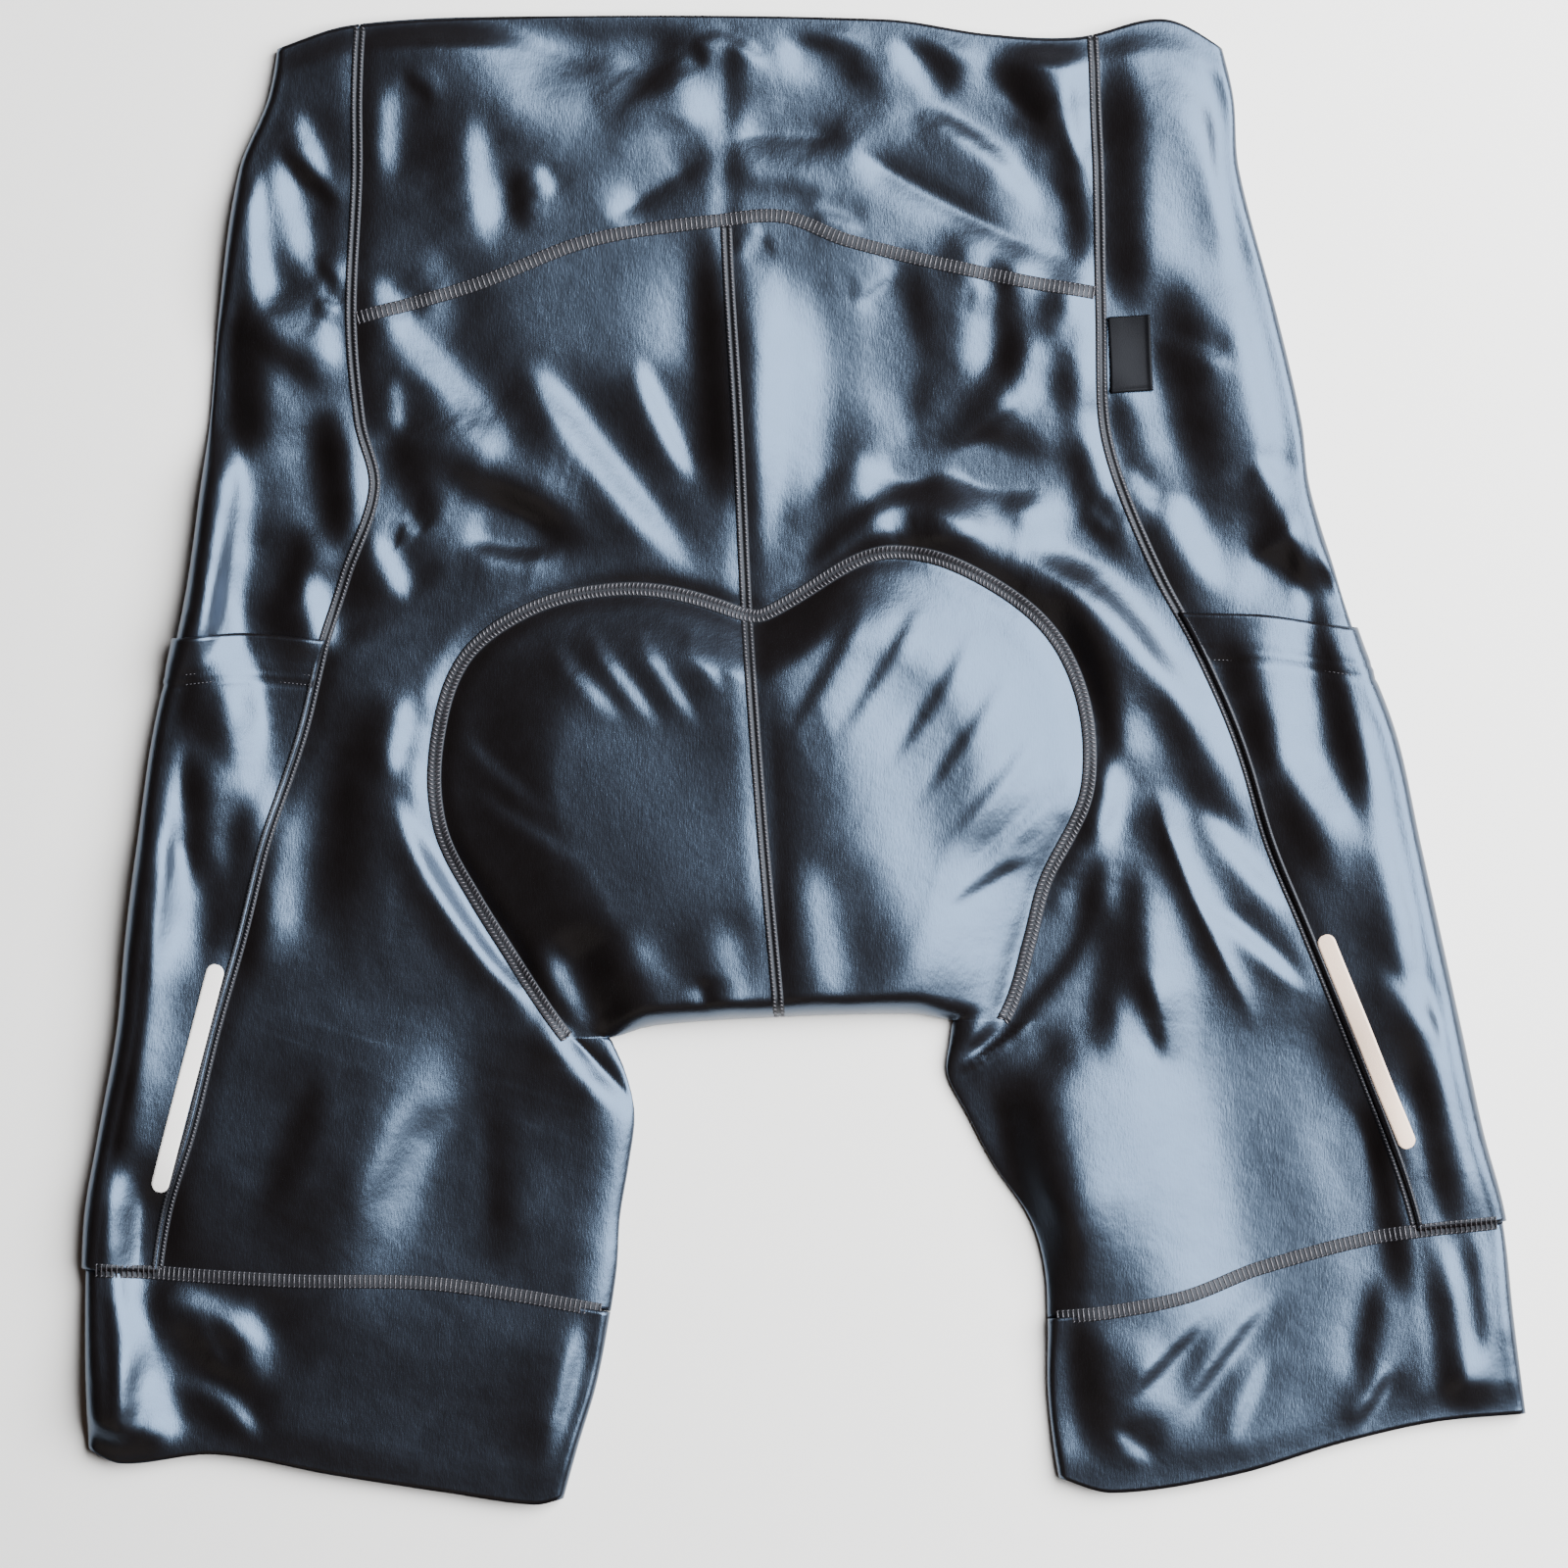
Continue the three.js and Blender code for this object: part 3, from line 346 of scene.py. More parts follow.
    (104, 134, 110, 108, 120, 82, 4, 9, D), (152, 92, 162, 74, 174, 58, 4.5, 9, D),
    (206, -84, 214, -126, 221, -168, 6.5, 10, D), (222, -156, 227, -182, 231, -210, 4.5, 8, D),
    (88, 118, 96, 90, 107, 64, 4.5, 9, D), (-2, 262, 10, 240, 34, 220, 6, 12, D),
    (56, 270, 72, 238, 80, 204, 7.5, 14, D), (86, 220, 91, 190, 93, 158, 6.5, 10, D),
    (-195, 156, -190, 128, -190, 98, 7.5, 11, D), (-209, 6, -206, -20, -209, -46, 5.5, 8, D),
    (-164, 122, -160, 96, -157, 66, 6, 9, D), (-193, -6, -189, -42, -190, -80, 7.5, 12, D),
    (150, 24, 162, -10, 178, -46, 4.5, 9, D), (172, -70, 186, -108, 199, -152, 4, 11, D),
    (190, -106, 197, -146, 204, -188, 7, 10, D), (92, -184, 96, -210, 101, -242, 4.5, 10, D),
    (20, 276, 36, 246, 62, 218, 7.5, 14, D), (60, 240, 74, 224, 90, 204, 4.5, 12, D),
    (70, 206, 80, 196, 92, 184, 2.5, 8, D), (164, 60, 172, 62, 182, 66, 2.5, 8, D),
    (118, 38, 130, 4, 144, -34, 5.5, 12, D), (-152, 28, -152, -20, -162, -80, 6, 18, D),
    (-132, 108, -104, 90, -74, 80, 6.5, 11, D), (-142, 114, -132, 95, -127, 76, 6.5, 11, D),
    (-108, -112, -106, -140, -104, -176, 3.5, 11, D), (66, -92, 74, -135, 90, -186, 6, 15, D),
    (84, 156, 66, 132, 52, 112, 4.5, 15, D), (64, 178, 68, 150, 70, 120, 5.5, 9, D),
    (146, 78, 166, 64, 184, 56, 3.5, 8, D), (80, 60, 98, 32, 106, -16, 4.5, 7, D),
    (-60, 205, -20, 226, 20, 222, 2.5, 10, D),
]


@dataclass(frozen=True)
class Fold:
    """One fold of the upper layer, on the curve through its start, middle and end."""

    line: Array
    rise: float
    width: float
    face: Face
    hand: float  # 1 if the light is to the left of the line, else -1
    core: float = 0.7  # share of the half width that the steep part takes
    spread: float = 2.6  # steep parts over which it dies out on both sides
    crisp: float = 0.3
    fade: float = 0.35  # share of the length over which each end dies out
    end_width: float = 0.4  # share of the width that is left at the ends
    cutoff: float = 4.5  # half spreads past which nothing is added

    @staticmethod
    def from_row(row: Sequence[Any]) -> "Fold":
        """A fold from its row of the table.

        Args:
            row: start, middle and end in the plan, rise, half width, and the Face that the line marks.
        Returns:
            The fold.
        """
        x0, y0, x1, y1, x2, y2, rise, width, face = row
        t = np.linspace(0.0, 1.0, FOLD_POINTS)[:, None]
        a, b, c = (np.array(p, float) for p in ((x0, y0), (x1, y1), (x2, y2)))
        line = a * (2 * t - 1) * (t - 1) + b * 4 * t * (1 - t) + c * t * (2 * t - 1)
        along = c - a
        hand = float(np.sign(-along[1] * LIGHT[0] + along[0] * LIGHT[1]))
        return Fold(line, rise, width, face, hand)

    def height(self, x: Array, y: Array) -> Array:
        """Rise at plan points. A lit or dark face is a step, -+ rise/2 * e * tanh(u) exp(-(u/k)^2), with u
        the distance towards the light over the steep part's width; a crest is
        rise * e * exp(-(sqrt(u^2 + c^2) - c)). The share s along the line narrows both ends by
        (4s(1-s))^0.5 and fades them by e = smooth(min(s, 1 - s) / fade).

        Args:
            x: plan x of the points.
            y: plan y of the points.
        Returns:
            The rise at each point.
        """
        out = np.zeros(x.shape)
        reach = self.cutoff * self.width * self.core * self.spread / 2
        low = self.line.min(0) - reach
        high = self.line.max(0) + reach
        near = (x > low[0]) & (x < high[0]) & (y > low[1]) & (y < high[1])
        if not near.any():
            return out
        p = np.stack([x[near], y[near]], -1)[:, None, :]
        a = self.line[None, :-1]
        step = self.line[None, 1:] - a
        t = np.clip(((p - a) * step).sum(-1) / (step ** 2).sum(-1), 0.0, 1.0)
        gap = p - a - step * t[..., None]
        away = np.linalg.norm(gap, axis=-1)
        best = away.argmin(1)
        rows = np.arange(len(best))
        turned = step[0, best, 0] * gap[rows, best, 1] - step[0, best, 1] * gap[rows, best, 0]
        s = (best + t[rows, best]) / (len(self.line) - 1)
        narrow = np.sqrt(np.clip(4 * s * (1 - s), 0.0, 1.0))
        steep = self.width * self.core * lerp(self.end_width, 1.0, narrow)
        u = np.sign(turned) * self.hand * away[rows, best] / steep
        if self.face is Face.CREST:
            shape = np.exp(-(np.sqrt(u * u + self.crisp ** 2) - self.crisp)) * self.rise
        else:
            shape = -self.face.value * abs(self.rise) / 2 * np.tanh(u) * np.exp(-((u / self.spread) ** 2))
        out[near] = shape * smooth(np.minimum(s, 1 - s) / self.fade)
        return out


@dataclass(frozen=True)
class Form:
    """Height of the garment's upper layer over the plan, in millimetres."""

    pad_x: float = -14.0
    pad_y: float = -15.0
    pad_rise: float = 8.5
    pad_shoulder: float = 0.62
    pad_groove: float = 2.0
    pad_groove_width: float = 5.0
    seam_draw: float = 0.7
    seam_draw_width: float = 4.5
    low_turn: float = 2.0  # how sharply the height turns level at its lowest
    pocket_edge: float = 1.2  # over which the pocket's edges step up
    # Size, length across, length along and phase of each wave, and what bends them all
    waves: tuple[tuple[float, ...], ...] = (
        (0.21, 31, 13, 0.3), (0.16, -17, 23, 1.1), (0.12, 12, 19, 2.0), (0.09, -9, -14, 0.7),
    )
    bend: tuple[float, float, float] = (0.8, 27, 41)
    folds: tuple[Fold, ...] = field(default_factory=lambda: tuple(map(Fold.from_row, FOLDS)))

    def pad_angle(self, x: Array, y: Array) -> Array:
        """Angle of plan points round the pad's centre, in degrees from -90 to 270."""
        turned = np.degrees(np.arctan2(y - self.pad_y, x - self.pad_x))
        return np.where(turned < -90.0, turned + 360.0, turned)

    def pad(self, x: Array, y: Array) -> Array:
        """The pad's rise R (1 - smooth((r/reach - k) / (1 - k))) less the drawn-down line round it.

        Args:
            x: plan x of the points.
            y: plan y of the points.
        Returns:
            The rise at each point.
        """
        away = np.hypot(x - self.pad_x, y - self.pad_y)
        reach = PAD_REACH(self.pad_angle(x, y))
        body = self.pad_rise * (1 - smooth((away / reach - self.pad_shoulder) / (1 - self.pad_shoulder)))
        groove = self.pad_groove * np.exp(-(((away - reach) / self.pad_groove_width) ** 2))
        return body - groove

    def ripple(self, x: Array, y: Array) -> Array:
        """Slight unevenness of the lying cloth, a sum of long crossed waves.

        Args:
            x: plan x of the points.
            y: plan y of the points.
        Returns:
            The rise at each point.
        """
        size, along, across = self.bend
        bent = size * np.sin(y / along + x / across)
        total = np.zeros(x.shape)
        for size, across, along, phase in self.waves:
            total = total + size * np.sin(x / across + y / along + phase + bent)
        return total

    def draws(self, x: Array, y: Array) -> Array:
        """How far the long seams and the middle seam draw the cloth down beside them.

        Args:
            x: plan x of the points.
            y: plan y of the points.
        Returns:
            The rise at each point, below 0.
        """
        total = np.zeros(x.shape)
        for seam in (LEFT.seam, RIGHT.seam, MIDDLE):
            slope = (seam(y + 1.0) - seam(y - 1.0)) / 2.0
            d = np.abs(x - seam(y)) / np.sqrt(1 + slope ** 2)
            total = total - self.seam_draw * np.exp(-((d / self.seam_draw_width) ** 2))
        return total

    def height(self, x: Array, y: Array) -> Array:
        """Upper face: rest + pad + folds + ripple + draws, closing towards the waist edge and the hems.

        Args:
            x: plan x of the points.
            y: plan y of the points.
        Returns:
            The height of each point.
        """
        x, y = np.broadcast_arrays(np.asarray(x, float), np.asarray(y, float))
        z = REST_HEIGHT + self.pad(x, y) + self.ripple(x, y) + self.draws(x, y)
        for fold in self.folds:
            z = z + fold.height(x, y)
        z = lerp(WAIST_HEIGHT, z, smooth((WAIST(x) - y) / WAIST_FADE))
        hem = np.where(x < MIDDLE(np.maximum(y, CROTCH_Y)), LEFT_HEM(x), RIGHT_HEM(x))
        closed = lerp(HEM_HEIGHT, z, smooth((y - hem) / HEM_FADE))
        z = np.where(y < LEG_TOP_Y, closed, z)
        low = LOWEST + np.log1p(np.exp((z - LOWEST) * self.low_turn)) / self.low_turn
        return np.minimum(low, HIGHEST)

    def back(self, side: Side, x: Array, y: Array) -> Array:
        """Height of a back panel: the upper face, rounded down at the seat's fold and the inner leg.

        Args:
            side: the garment's side.
            x: plan x of the points.
            y: plan y of the points.
        Returns:
            The height of each point.
        """
        crotch_x, crotch_y = side.crotch
        beyond = ((x - crotch_x) * side.outward < 0) & (y >= crotch_y)
        leg = (x - side.inner(y)) * side.outward
        corner = np.hypot(x - crotch_x, y - crotch_y)
        inside = np.where(beyond, y - SEAT_FOLD(x), np.where(y < crotch_y, leg, corner))
        upright = smooth((y - crotch_y) / np.maximum(corner, TINY))
        reach = np.where(beyond, FOLD_ROUND, lerp(LEG_ROUND, FOLD_ROUND, upright))
        share = np.clip(inside / reach, 0.0, 1.0)
        return lerp(FOLD_FOOT, self.height(x, y), np.sqrt(1 - (1 - share) ** 2))

    def ajar(self, side: Side, x: Array, y: Array, across: Array) -> Array:
        """How far a pocket stands off near its mouth, most in the middle of its width."""
        below = side.mouth(x) - y
        return POCKET_AJAR * np.exp(-((below / POCKET_AJAR_REACH) ** 2)) * np.sin(np.pi * across) ** 2

    def top(self, x: Array, y: Array) -> Array:
        """Height of the topmost cloth: the back panels', or the pocket's beyond a long seam.

        Args:
            x: plan x of the points.
            y: plan y of the points.
        Returns:
            The height of each point.
        """
        left = x < MIDDLE(np.maximum(y, CROTCH_Y))
        z = np.where(left, self.back(LEFT, x, y), self.back(RIGHT, x, y))
        for side in (LEFT, RIGHT):
            out = (x - side.seam(y)) * side.outward
            on = 1.0
            for inside in (out, side.mouth(x) - y, y - side.band(x)):
                on = on * smooth(inside / self.pocket_edge)
            z = z + (WALL + SEAM_GAP) * on
        return z


FORM = Form()


def plan_point(edges: Edges, across: Array, down: Array, guess: Array) -> Pair:
    """Plan points between two edges x(y) and two edges y(x), found by repeated steps.

    Args:
        edges: the edges run from, run to, top and bottom.
        across: share of the way between the first two.
        down: share of the way between the last two.
        guess: first guess of y.
    Returns:
        x and y of the points.
    """
    start, stop, top, bottom = edges
    across, down, y = np.broadcast_arrays(across, down, np.asarray(guess, float))
    x = np.zeros(y.shape)
    for _ in range(SOLVE_STEPS):
        x = lerp(start(y), stop(y), across)
        y = lerp(top(x), bottom(x), down)
    return x, y


def moved(edge: Edge, by: float) -> Edge:
    """The edge shifted by a distance."""
    return lambda at: edge(at) + by


def shares(length: float, step: float = GRID_STEP, rounded: float = 0.0) -> Array:
    """Shares from 0 to 1 at even steps, drawn together over the rounded end.

    Args:
        length: real length in millimetres.
        step: distance between points.
        rounded: length at the end over which they follow a quarter circle.
    Returns:
        The shares, first 0 and last 1.
    """
    even = np.linspace(0.0, 1.0 - rounded / length, max(int((length - rounded) / step), 2) + 1)
    if not rounded:
        return even
    turn = np.linspace(0.0, math.pi / 2, 1 + int(rounded * ROUND_DENSITY))[1:]
    return np.concatenate([even, 1.0 - rounded / length * (1 - np.sin(turn))])


def shell(
    grid: Array, outer: Array | float, inner: float, present: Array | None = None, ring: bool = False
) -> Pair:
    """A closed cloth wall: two faces at set distances along a grid's normals, joined round each edge.

    Args:
        grid: points, rows by columns by 3.
        outer: distance of the outer face, one value or one for each point.
        inner: distance of the inner face.
        present: which cells are there, rows - 1 by columns (- 1).
        ring: whether the last column joins the first.
    Returns:
        Vertices and four-sided faces.
    """
    rows, columns = grid.shape[:2]
    cells = columns if ring else columns - 1
    here = np.ones((rows - 1, cells), bool) if present is None else present
    right = np.roll(grid, -1, 1)[:, :cells]
    left = grid[:, :cells]
    normal = np.cross(left[1:] - right[:-1], right[1:] - left[:-1]) * here[..., None]
    total = np.zeros_like(grid)
    for r in (0, 1):
        total[r:rows - 1 + r, :cells] += normal
        spread = np.zeros_like(grid)
        spread[r:rows - 1 + r, :cells] = normal
        total += np.roll(spread, 1, 1)
    length = np.linalg.norm(total, axis=-1, keepdims=True)
    unit = total / np.where(length > SHORTEST, length, 1.0)
    turned = unit[1, 1, 2] < 0
    unit = -unit if turned else unit
    outer_gap = np.broadcast_to(np.asarray(outer, float), grid.shape[:2])[..., None]
    points = np.concatenate([(grid + unit * outer_gap).reshape(-1, 3), (grid + unit * inner).reshape(-1, 3)])
    points[:, 2] = np.maximum(points[:, 2], 0.0)
    index = np.arange(rows * columns).reshape(rows, columns)
    nxt = np.roll(index, -1, 1)[:, :cells]
    cur = index[:, :cells]
    a, b, c, d = cur[:-1], cur[1:], nxt[1:], nxt[:-1]
    layer = rows * columns
    held = np.pad(here, 1)
    if ring:
        held[:, 0] = held[:, -2]
        held[:, -1] = held[:, 1]
    quads = [
        (here, (a, b, c, d)),
        (here, (a + layer, d + layer, c + layer, b + layer)),
        (here & ~held[1:-1, :-2], (a, a + layer, b + layer, b)),
        (here & ~held[2:, 1:-1], (b, b + layer, c + layer, c)),
        (here & ~held[1:-1, 2:], (c, c + layer, d + layer, d)),
        (here & ~held[:-2, 1:-1], (d, d + layer, a + layer, a)),
    ]
    faces = np.concatenate([np.stack([v[mask] for v in corners], -1) for mask, corners in quads])
    faces = faces[:, ::-1] if turned else faces
    used, compact = np.unique(faces, return_inverse=True)
    return points[used], compact.reshape(-1, 4)


def linear(code: str) -> tuple[float, float, float, float]:
    """An sRGB hex colour as linear red, green, blue and alpha 1.

    Args:
        code: the colour, such as #0E0A08.
    Returns:
        The four values.
    """
    raw = np.array([int(code[i:i + 2], 16) / 255 for i in (1, 3, 5)])
    value = np.where(raw <= 0.04045, raw / 12.92, ((raw + 0.055) / 1.055) ** 2.4)
    return (float(value[0]), float(value[1]), float(value[2]), 1.0)


def add_node(tree: Any, kind: str, inputs: dict[Any, Any] | None = None, **settings: Any) -> Any:
    """Adds a shader node.

    Args:
        tree: the node tree.
        kind: the node's type name.
        inputs: value, or output socket to link, of each input.
        settings: the node's own properties.
    Returns:
        The node.
    """
    node = tree.nodes.new(kind)
    for name, value in settings.items():
        setattr(node, name, value)
    for name, value in (inputs or {}).items():
        if isinstance(value, bpy.types.NodeSocket):
            tree.links.new(value, node.inputs[name])
        else:
            node.inputs[name].default_value = value
    return node


def add_noise(tree: Any, place: Any, size_mm: float, detail: float, roughness: float) -> Any:
    """Adds a noise texture of a real size and gives its value's socket."""
    node = add_node(tree, "ShaderNodeTexNoise", {
        "Vector": place, "Scale": 1 / (size_mm * MM), "Detail": detail, "Roughness": roughness,
    })
    return node.outputs["Fac"]


def add_bump(tree: Any, height: Any, depth_mm: float, **more: Any) -> Any:
    """Adds a bump of a real depth and gives its normal's socket."""
    inputs = {"Height": height, "Distance": depth_mm * MM, "Strength": 1.0, **more}
    return add_node(tree, "ShaderNodeBump", inputs).outputs["Normal"]


@dataclass(frozen=True)
class Finish:
    """A material: a principled surface, its colour mottled slightly and its face finely bumped."""

    name: str
    color: str
    worn: str  # second colour of the mottling
    roughness: float
    rough_spread: float = 0.04
    specular: float = 0.5
    tint: str = "#FFFFFF"
    ior: float = 1.5
    mottle_mm: float = 9.0
    grain_mm: float = 0.6
    grain_depth_mm: float = 0.02
    grain_stretch: float = 1.0  # length of the grain along Y over its width
    soft_mm: float = 0.0
    soft_depth_mm: float = 0.0

    def build(self) -> bpy.types.Material:
        """The Blender material of this finish, patterned in Object coordinates.

        Returns:
            The material.
        """
        material = bpy.data.materials.new(self.name)
        material.use_nodes = True
        tree = material.node_tree
        tree.nodes.clear()
        place = add_node(tree, "ShaderNodeTexCoord").outputs["Object"]
        mottle = add_noise(tree, place, self.mottle_mm, 4.0, 0.55)
        color = add_node(tree, "ShaderNodeMix", {
            0: mottle, 6: linear(self.color), 7: linear(self.worn),
        }, data_type="RGBA")
        rough = add_node(tree, "ShaderNodeMapRange", {
            "Value": mottle, "To Min": self.roughness - self.rough_spread,
            "To Max": self.roughness + self.rough_spread,
        })
        drawn = add_node(tree, "ShaderNodeMapping", {
            "Vector": place, "Scale": (1.0, 1.0 / self.grain_stretch, 1.0),
        })
        grain = add_noise(tree, drawn.outputs["Vector"], self.grain_mm, 2.0, 0.6)
        normal = add_bump(tree, grain, self.grain_depth_mm)
        if self.soft_depth_mm:
            soft = add_noise(tree, place, self.soft_mm, 3.0, 0.5)
            normal = add_bump(tree, soft, self.soft_depth_mm, Normal=normal)
        surface = add_node(tree, "ShaderNodeBsdfPrincipled", {
            "Base Color": color.outputs[2], "Roughness": rough.outputs["Result"], "Normal": normal,
            "Specular IOR Level": self.specular, "Specular Tint": linear(self.tint), "IOR": self.ior,
        })
        add_node(tree, "ShaderNodeOutputMaterial", {"Surface": surface.outputs["BSDF"]})
        return material


class Slot(Enum):
    """Material slots of the record."""

    KNIT = "knit"
    THREAD = "thread"
    FOAM = "foam"
    PALE = "reflective_pale"
    WARM = "reflective_warm"
    LABEL = "label"


# Dark nylon-elastane knit with a satin face; its blue specular tint is painted light, the blue cast of sky
# light on its sheen, since the key lamp is white
SATIN = Finish("nylon_elastane_satin_knit", "#0E0A08", "#120D0B", 0.3, 0.04, specular=1.0,
               tint="#A6C6EE", ior=1.62, grain_mm=0.55, grain_depth_mm=0.055, grain_stretch=4.0, soft_mm=8.5,
               soft_depth_mm=0.19)
# The same knit, turned double at waist and hems
SATIN_DOUBLED = replace(SATIN, name="satin_knit_turned_double")
# Textured polyester sewing thread
THREAD = Finish("polyester_sewing_thread", "#29272B", "#39363B", 0.42, 0.05, specular=1.0,
                tint="#DADCE6", ior=1.6, grain_mm=0.3, grain_depth_mm=0.04)
# Cloth edge under close rows of thread
BOUND = Finish("thread_bound_seam", "#0C0B0C", "#141315", 0.55, 0.05, specular=0.6, tint="#C8D2E2",
               grain_mm=0.5, grain_depth_mm=0.08)
# Open-cell foam covered in knit
FOAM = Finish("polyurethane_foam_pad", "#4A4A4E", "#505055", 0.85, 0.03, grain_mm=1.2,
              grain_depth_mm=0.2)
# Glass-bead reflective film, reading near white
PALE_FILM = Finish("glass_bead_film_pale", "#E6E4E2", "#EFEDEB", 0.4, 0.03, grain_mm=0.4,
                   grain_depth_mm=0.01)
# The same film, shown warmer: its warm colour is a painted reflection, the light sent back by its glass beads
FILM_WARM_REFLECTION = Finish("glass_bead_film_warm", "#E6C9B4", "#EBD3C0", 0.4, 0.03, grain_mm=0.4,
                   grain_depth_mm=0.01)
# Woven satin ribbon
RIBBON = Finish("woven_satin_ribbon", "#0A0A0C", "#0F0F12", 0.5, 0.04, specular=0.12,
                tint="#C6CDDA", grain_mm=0.4, grain_depth_mm=0.05)
# Painted studio floor
FLOOR = Finish("painted_floor", "#F1F1F0", "#F4F4F3", 0.7, 0.02, grain_mm=2.0, grain_depth_mm=0.0)


class Wardrobe:
    """Makes each finish once."""

    def __init__(self) -> None:
        """Starts with no material made."""
        self.made: dict[str, bpy.types.Material] = {}

    def get(self, finish: Finish) -> bpy.types.Material:
        """The material of a finish, made at its first use."""
        if finish.name not in self.made:
            self.made[finish.name] = finish.build()
        return self.made[finish.name]


WARDROBE = Wardrobe()


def add_mesh(name: str, points: Array, faces: Array, finish: Finish) -> bpy.types.Object:
    """Makes a piece from points in sketch millimetres and puts it on the root body.

    Args:
        name: the piece's name.
        points: vertices, n by 3.
        faces: corner indices, m by 3 or 4.
        finish: its material.
    Returns:
        The new object, at the origin.
    """
    mesh = bpy.data.meshes.new(name)
    corners = faces.shape[1]
    mesh.vertices.add(len(points))
    mesh.vertices.foreach_set("co", ((points + FRAME_SHIFT) * MM).astype(np.float32).ravel())
    mesh.loops.add(faces.size)
    mesh.loops.foreach_set("vertex_index", faces.astype(np.int32).ravel())
    mesh.polygons.add(len(faces))
    mesh.polygons.foreach_set("loop_start", np.arange(0, faces.size, corners, dtype=np.int32))
    mesh.update(calc_edges=True)
    mesh.validate()
    mesh.polygons.foreach_set("use_smooth", np.ones(len(mesh.polygons), bool))
    mesh.materials.append(WARDROBE.get(finish))
    made = bpy.data.objects.new(name, mesh)
    bpy.context.scene.collection.objects.link(made)
    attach(made, "root")
    log.info("%s: %d vertices, %d faces", name, len(points), len(faces))
    return made


def add_cloth(
    name: str, node: str, built: Pair, finish: Finish = SATIN
) -> bpy.types.Object:
    """Makes a cloth piece that stands for a CAD node, and hides that node.

    Args:
        name: the piece's name.
        node: the CAD node it replaces.
        built: vertices and faces.
        finish: its material.
    Returns:
        The new object.
    """
    made = add_mesh(name, built[0], built[1], finish)
    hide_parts(node)
    return made


@dataclass(frozen=True)
class Waistbands:
    """The wide waistband of the upper layer and the one of the layer underneath."""

    back_cut: tuple[float, float] = (252.0, 103.0)
    back_fill: float = 0.76
    front_cut: tuple[float, float] = (252.0, 112.0)
    front_fill: float = 0.92
    front_step: float = 4.0
    back_length: float = 90.0
    front_length: float = 105.0
    level: float = 200.0  # about its middle height

    def grid(self, lower: Edge, step: float, length: float) -> Pair:
        """Plan points between the long seams, from the waist edge to a lower edge.

        Args:
            lower: the lower edge.
            step: distance between points.
            length: real length down it.
        Returns:
            x and y of the points.
        """
        half = SEAM_GAP / 2
        edges = (moved(LEFT.seam, half), moved(RIGHT.seam, -half), WAIST, moved(lower, half))
        across = shares(self.back_cut[0], step)[None, :]
        down = shares(length, step)[:, None]
        return plan_point(edges, across, down, self.level)

    def build(self) -> None:
        """Builds both waistbands."""
        x, y = self.grid(YOKE, GRID_STEP, self.back_length)
        grid = spots(x, y, FORM.height(x, y))
        add_cloth("waistband_back", "back_waistband", shell(grid, 0.0, -DOUBLED),
                  SATIN_DOUBLED)
        x, y = self.grid(FRONT_YOKE, self.front_step, self.front_length)
        grid = spots(x, y, np.full(x.shape, WALL))
        add_cloth("waistband_front", "front_waistband", shell(grid, 0.0, -WALL),
                  SATIN_DOUBLED)


@dataclass(frozen=True)
class Panels:
    """The two back panels, each running on down its leg, and the two front panels under them."""

    back_cut: tuple[float, float] = (185.0, 352.0)
    back_fill: float = 0.80
    front_step: float = 5.0
    seat_length: float = 250.0
    seat_level: float = 40.0  # about the middle height of the seat rows
    leg_length: float = 90.0
    leg_level: float = -130.0

    def plan(
        self, side: Side, top: Edge, bottom: Edge, step: float, rounded: float
    ) -> tuple[Array, Array, Array]:
        """Plan of a panel: seat rows over the full width, leg rows up to the inner leg.

        Args:
            side: the garment's side.
            top: upper edge.
            bottom: lower edge, at the leg band.
            step: distance between points.
            rounded: length drawn together at the folds.
        Returns:
            x, y, and which cells are there.
        """
        to_seam = side.outward * SEAM_GAP / 2
        crotch_x, crotch_y = side.crotch
        seam_x = float(side.seam(crotch_y))
        reach = abs(float(MIDDLE(CROTCH_Y)) - seam_x)
        crotch = abs(crotch_x - seam_x) / reach
        leg_across = shares(crotch * reach, step, rounded * LEG_ROUND / FOLD_ROUND)
        seat_across = shares((1 - crotch) * reach, step)
        columns = np.concatenate([leg_across * crotch, crotch + (1 - crotch) * seat_across[1:]])
        seat_down = shares(self.seat_length, step, rounded)
        leg_down = shares(self.leg_length, step)[1:]
        outer = moved(side.seam, -to_seam)
        seat_edges = (outer, moved(MIDDLE, to_seam), moved(top, -SEAM_GAP / 2), SEAT_FOLD)
        leg_edges = (outer, side.inner, SEAT_FOLD, moved(bottom, SEAM_GAP / 2))
        seat = plan_point(seat_edges, columns[None, :], seat_down[:, None], self.seat_level)
        leg = plan_point(leg_edges, leg_across[None, :], leg_down[:, None], self.leg_level)
        last = len(leg_across) - 1
        pick = np.minimum(np.arange(len(columns)), last)
        x = np.concatenate([seat[0], leg[0][:, pick]])
        y = np.concatenate([seat[1], leg[1][:, pick]])
        cell_row, cell_column = np.ogrid[:len(x) - 1, :len(columns) - 1]
        present = (cell_row < len(seat_down) - 1) | (cell_column < last)
        return x, y, present

    def build(self, side: Side) -> None:
        """Builds the back panel and the front panel of one side.

        Args:
            side: the garment's side.
        """
        x, y, present = self.plan(side, YOKE, side.band, GRID_STEP, FOLD_ROUND)
        grid = spots(x, y, FORM.back(side, x, y))
        add_cloth(f"panel_back_{side.name}", f"back_{side.name}", shell(grid, 0.0, -WALL, present))
        x, y, present = self.plan(side, FRONT_YOKE, band_under(side), self.front_step, 0.0)
        grid = spots(x, y, np.full(x.shape, WALL))
        add_cloth(f"panel_front_{side.name}", f"front_{side.name}", shell(grid, 0.0, -WALL, present))


